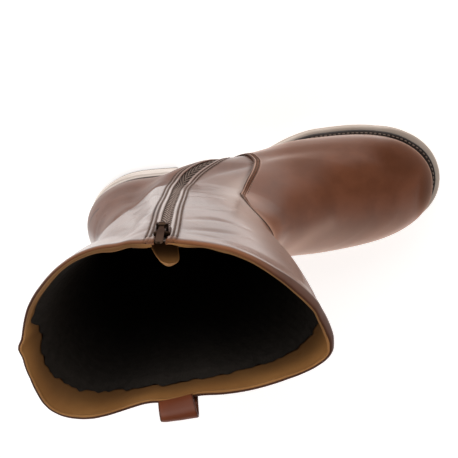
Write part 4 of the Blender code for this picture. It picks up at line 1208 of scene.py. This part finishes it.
def build_zip():
    """Zip: woven tape sunk in the slot with a raised chain down its middle."""
    line = drawn_line(ZIP_LINE, ZIP_ROWS)[6:]
    flat = np.linspace(CHAIN_HALF, TAPE_HALF, 10)
    aside = np.concatenate([-flat[::-1], np.linspace(-1.6, 1.6, 13), flat])
    v, u = side_place(line[:, None] + across_of(line)[:, None] * aside[:, None], 1)
    keep = v[:, len(aside) // 2] < COLLAR - 0.03
    chain = CHAIN_HEIGHT * smooth((CHAIN_HALF - np.abs(aside)) / 0.5) - 0.35 * bell(aside, 0.25)
    points = skin(v, u, chain - TAPE_DEPTH)
    uv = np.stack(np.broadcast_arrays(aside, run_along(line)[:, None]), axis=-1)
    shade = np.maximum(0.9 * smooth((np.abs(aside) - 2.5) / 0.8), 0.45 * smooth((140 - line[:, 1:]) / 40))
    grid_piece("zip_tape", points[keep], FINISH["tape"], "zip_cloth", nodes=("zip_tape",), uv=uv[keep],
               masks={"shade": shade[keep]})


def strap_section(count, across_power, through_power):
    """Rounded strap section from -1 to 1: signed powers of the cosine across it and the sine through it."""
    turn = np.arange(count) * (2 * np.pi / count)
    across, through = np.cos(turn), np.sin(turn)
    return (np.sign(across) * np.abs(across) ** across_power,
            np.sign(through) * np.abs(through) ** through_power)


def build_guard():
    """Guard: a strip behind the zip whose free end, a rounded tongue, bends into the mouth; the grid
    goes around its section as it is carried along."""
    line = drawn_line(ZIP_LINE, GUARD_ROWS)
    line = line[line[:, 1] > ZIP_LINE[-1][1] - 110][:-6]
    run = np.linspace(0, GUARD_LENGTH, len(line))[:, None]
    left = GUARD_LENGTH - run
    bend = smooth(1 - left / BEND_LENGTH)
    tip = np.sqrt(np.clip(1 - ((TONGUE - left).clip(0) / TONGUE) ** 2, 1e-6, 1))
    tip = tip * np.sqrt(np.clip(run, 1e-6, 1))
    side, thick = strap_section(GUARD_COLUMNS, 0.35, 0.6)
    aside = BEND_SHIFT * bend + (GUARD_HALF - 1.6 * bend) * tip * side
    v, u = side_place(line[:, None] + across_of(line)[:, None] * aside[..., None], 1)
    depth = -GUARD_DEPTH - BEND_DEPTH * bend + 1.2 * bend * side ** 2
    points = skin(v, u, depth + GUARD_THICK_HALF * thick * np.minimum(1, 3 * tip))
    rim = np.maximum(smooth((np.abs(side) - 0.86) / 0.1), smooth((2.0 - left) / 1.2))
    burnish_and_shade = (0.8 * smooth((left - 3) / 8) * (1 - rim) + 0.1).clip(0, 1)
    grid_piece("zip_guard", points, FINISH["facing"], "guard_leather", wrap=True, nodes=("zip_guard",),
               masks={"burnish_and_shade": burnish_and_shade, "wear_and_highlight": 0.6 * rim * bend})


def loop_place(x, out, up):
    """Points beside the lateral collar: out from the wall, up from the rim, or down along the wall."""
    ends = SECTIONS[COLLAR]
    u = -np.arccos(2 * (x - ends[0]) / (ends[2] - ends[0]) - 1)
    rim = wall(COLLAR, u)
    level = wall_normal(COLLAR, u) * (1, 1, 0)
    above = rim + level * out[..., None] + np.multiply.outer(up, (0, 0, 1))
    v, u = side_place(np.stack([x, rim[..., 2] + np.minimum(up, 0)], axis=-1), -1)
    return np.where(up[..., None] >= 0, above, skin(v, u, out))


def build_loop():
    """Pull loop: a strap with rounded edges carried along its fold, sewn down outside the collar."""
    line = drawn_line(LOOP_LINE, LOOP_ROWS)
    normal = -across_of(line)
    run = run_along(line)
    side, thick = strap_section(LOOP_COLUMNS, 0.16, 0.5)
    side = side * LOOP_HALF
    ends = np.sqrt(np.clip(np.minimum(run, run[-1] - run) / LOOP_THICK_HALF, 1e-4, 1))[:, None]
    thick = LOOP_THICK_HALF * thick * ends
    x = LOOP_X + side + LOOP_SKEW * smooth(np.linspace(0, 1, len(line)))[:, None]
    out = line[:, :1] * (0.95 + 0.014 * side) + normal[:, :1] * thick
    points = loop_place(x, out, line[:, 1:] + normal[:, 1:] * thick)
    edge = smooth((np.abs(side) - LOOP_HALF + 1.2) / 1.2)
    grid_piece("pull_loop", points, FINISH["loop"], "loop_leather", wrap=True, nodes=("pull_loop",),
               masks={"burnish_and_shade": np.tile(0.75 * edge, len(line))})


def dress_nodes():
    """Finishes for the frame's own nodes that stay in sight."""
    for name, key in (("insole", "lining"), ("zip_slider", "metal"), ("zip_pull", "metal")):
        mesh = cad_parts[name].data
        mesh.materials.clear()
        mesh.materials.append(FINISH[key])


# Camera and studio


def build_camera():
    """Camera at the photograph's place, looking down on the boot from its medial side."""
    place, target = Vector(to_metres(CAMERA_PLACE)), Vector(to_metres(CAMERA_TARGET))
    ahead = (target - place).normalized()
    roll = np.radians(CAMERA_ROLL_DEG)
    right = ahead.cross(Vector((np.sin(roll), np.cos(roll), 0.0))).normalized()
    up = right.cross(ahead)
    data = bpy.data.cameras.new("camera")
    data.sensor_width = 36.0
    data.lens = CAMERA_LENS
    data.clip_start = 0.01
    made = bpy.data.objects.new("camera", data)
    turn = Matrix((right, up, -ahead)).transposed().to_4x4()
    made.matrix_world = Matrix.Translation(place) @ turn
    bpy.context.scene.collection.objects.link(made)
    bpy.context.scene.camera = made


def soft_light(name):
    """Square soft box at its place, aimed at its target."""
    data = bpy.data.lights.new(name, "AREA")
    data.shape = "SQUARE"
    data.size = LIGHT_SIZE
    data.energy = LIGHT_POWER
    made = bpy.data.objects.new(name, data)
    made.location = LIGHT_PLACE
    ahead = Vector(LIGHT_TARGET) - Vector(LIGHT_PLACE)
    made.rotation_euler = ahead.to_track_quat("-Z", "Y").to_euler()
    bpy.context.scene.collection.objects.link(made)


def build_studio():
    """Pale floor that glows a little, surroundings that dim overhead, and a soft box on the medial side."""
    mesh = bpy.data.meshes.new("floor")
    mesh.from_pydata([(-6, -6, 0), (6, -6, 0), (6, 6, 0), (-6, 6, 0)], [], [(0, 1, 2, 3)])
    floor = bpy.data.objects.new("floor", mesh)
    bpy.context.scene.collection.objects.link(floor)
    made, _, shader = finish("pale_floor", 0.9, specular=0.1)
    shader.inputs["Base Color"].default_value = FLOOR_TONE
    shader.inputs["Emission Color"].default_value = FLOOR_GLOW
    shader.inputs["Emission Strength"].default_value = GLOW_STRENGTH
    mesh.materials.append(made)
    world = bpy.data.worlds.new("studio")
    world.use_nodes = True
    tree = world.node_tree
    sky = tree.nodes["Background"]
    sky.inputs["Color"].default_value = SKY_TONE
    way = add(tree, "ShaderNodeTexCoord").outputs["Generated"]
    height = add(tree, "ShaderNodeSeparateXYZ", {0: way}).outputs["Z"]
    dimmed = maths(tree, "MULTIPLY", ramp(tree, height, 0.3, 0.85), SKY_DIMMING)
    tree.links.new(maths(tree, "SUBTRACT", SKY_STRENGTH, dimmed), sky.inputs["Strength"])
    bpy.context.scene.world = world
    soft_light("medial_light")
    bpy.context.scene.view_settings.view_transform = "Standard"


build_shaft()
build_vamp()
build_facing()
build_lining()
build_sole()
build_seam_threads()
build_zip()
build_guard()
build_loop()
dress_nodes()
build_camera()
build_studio()
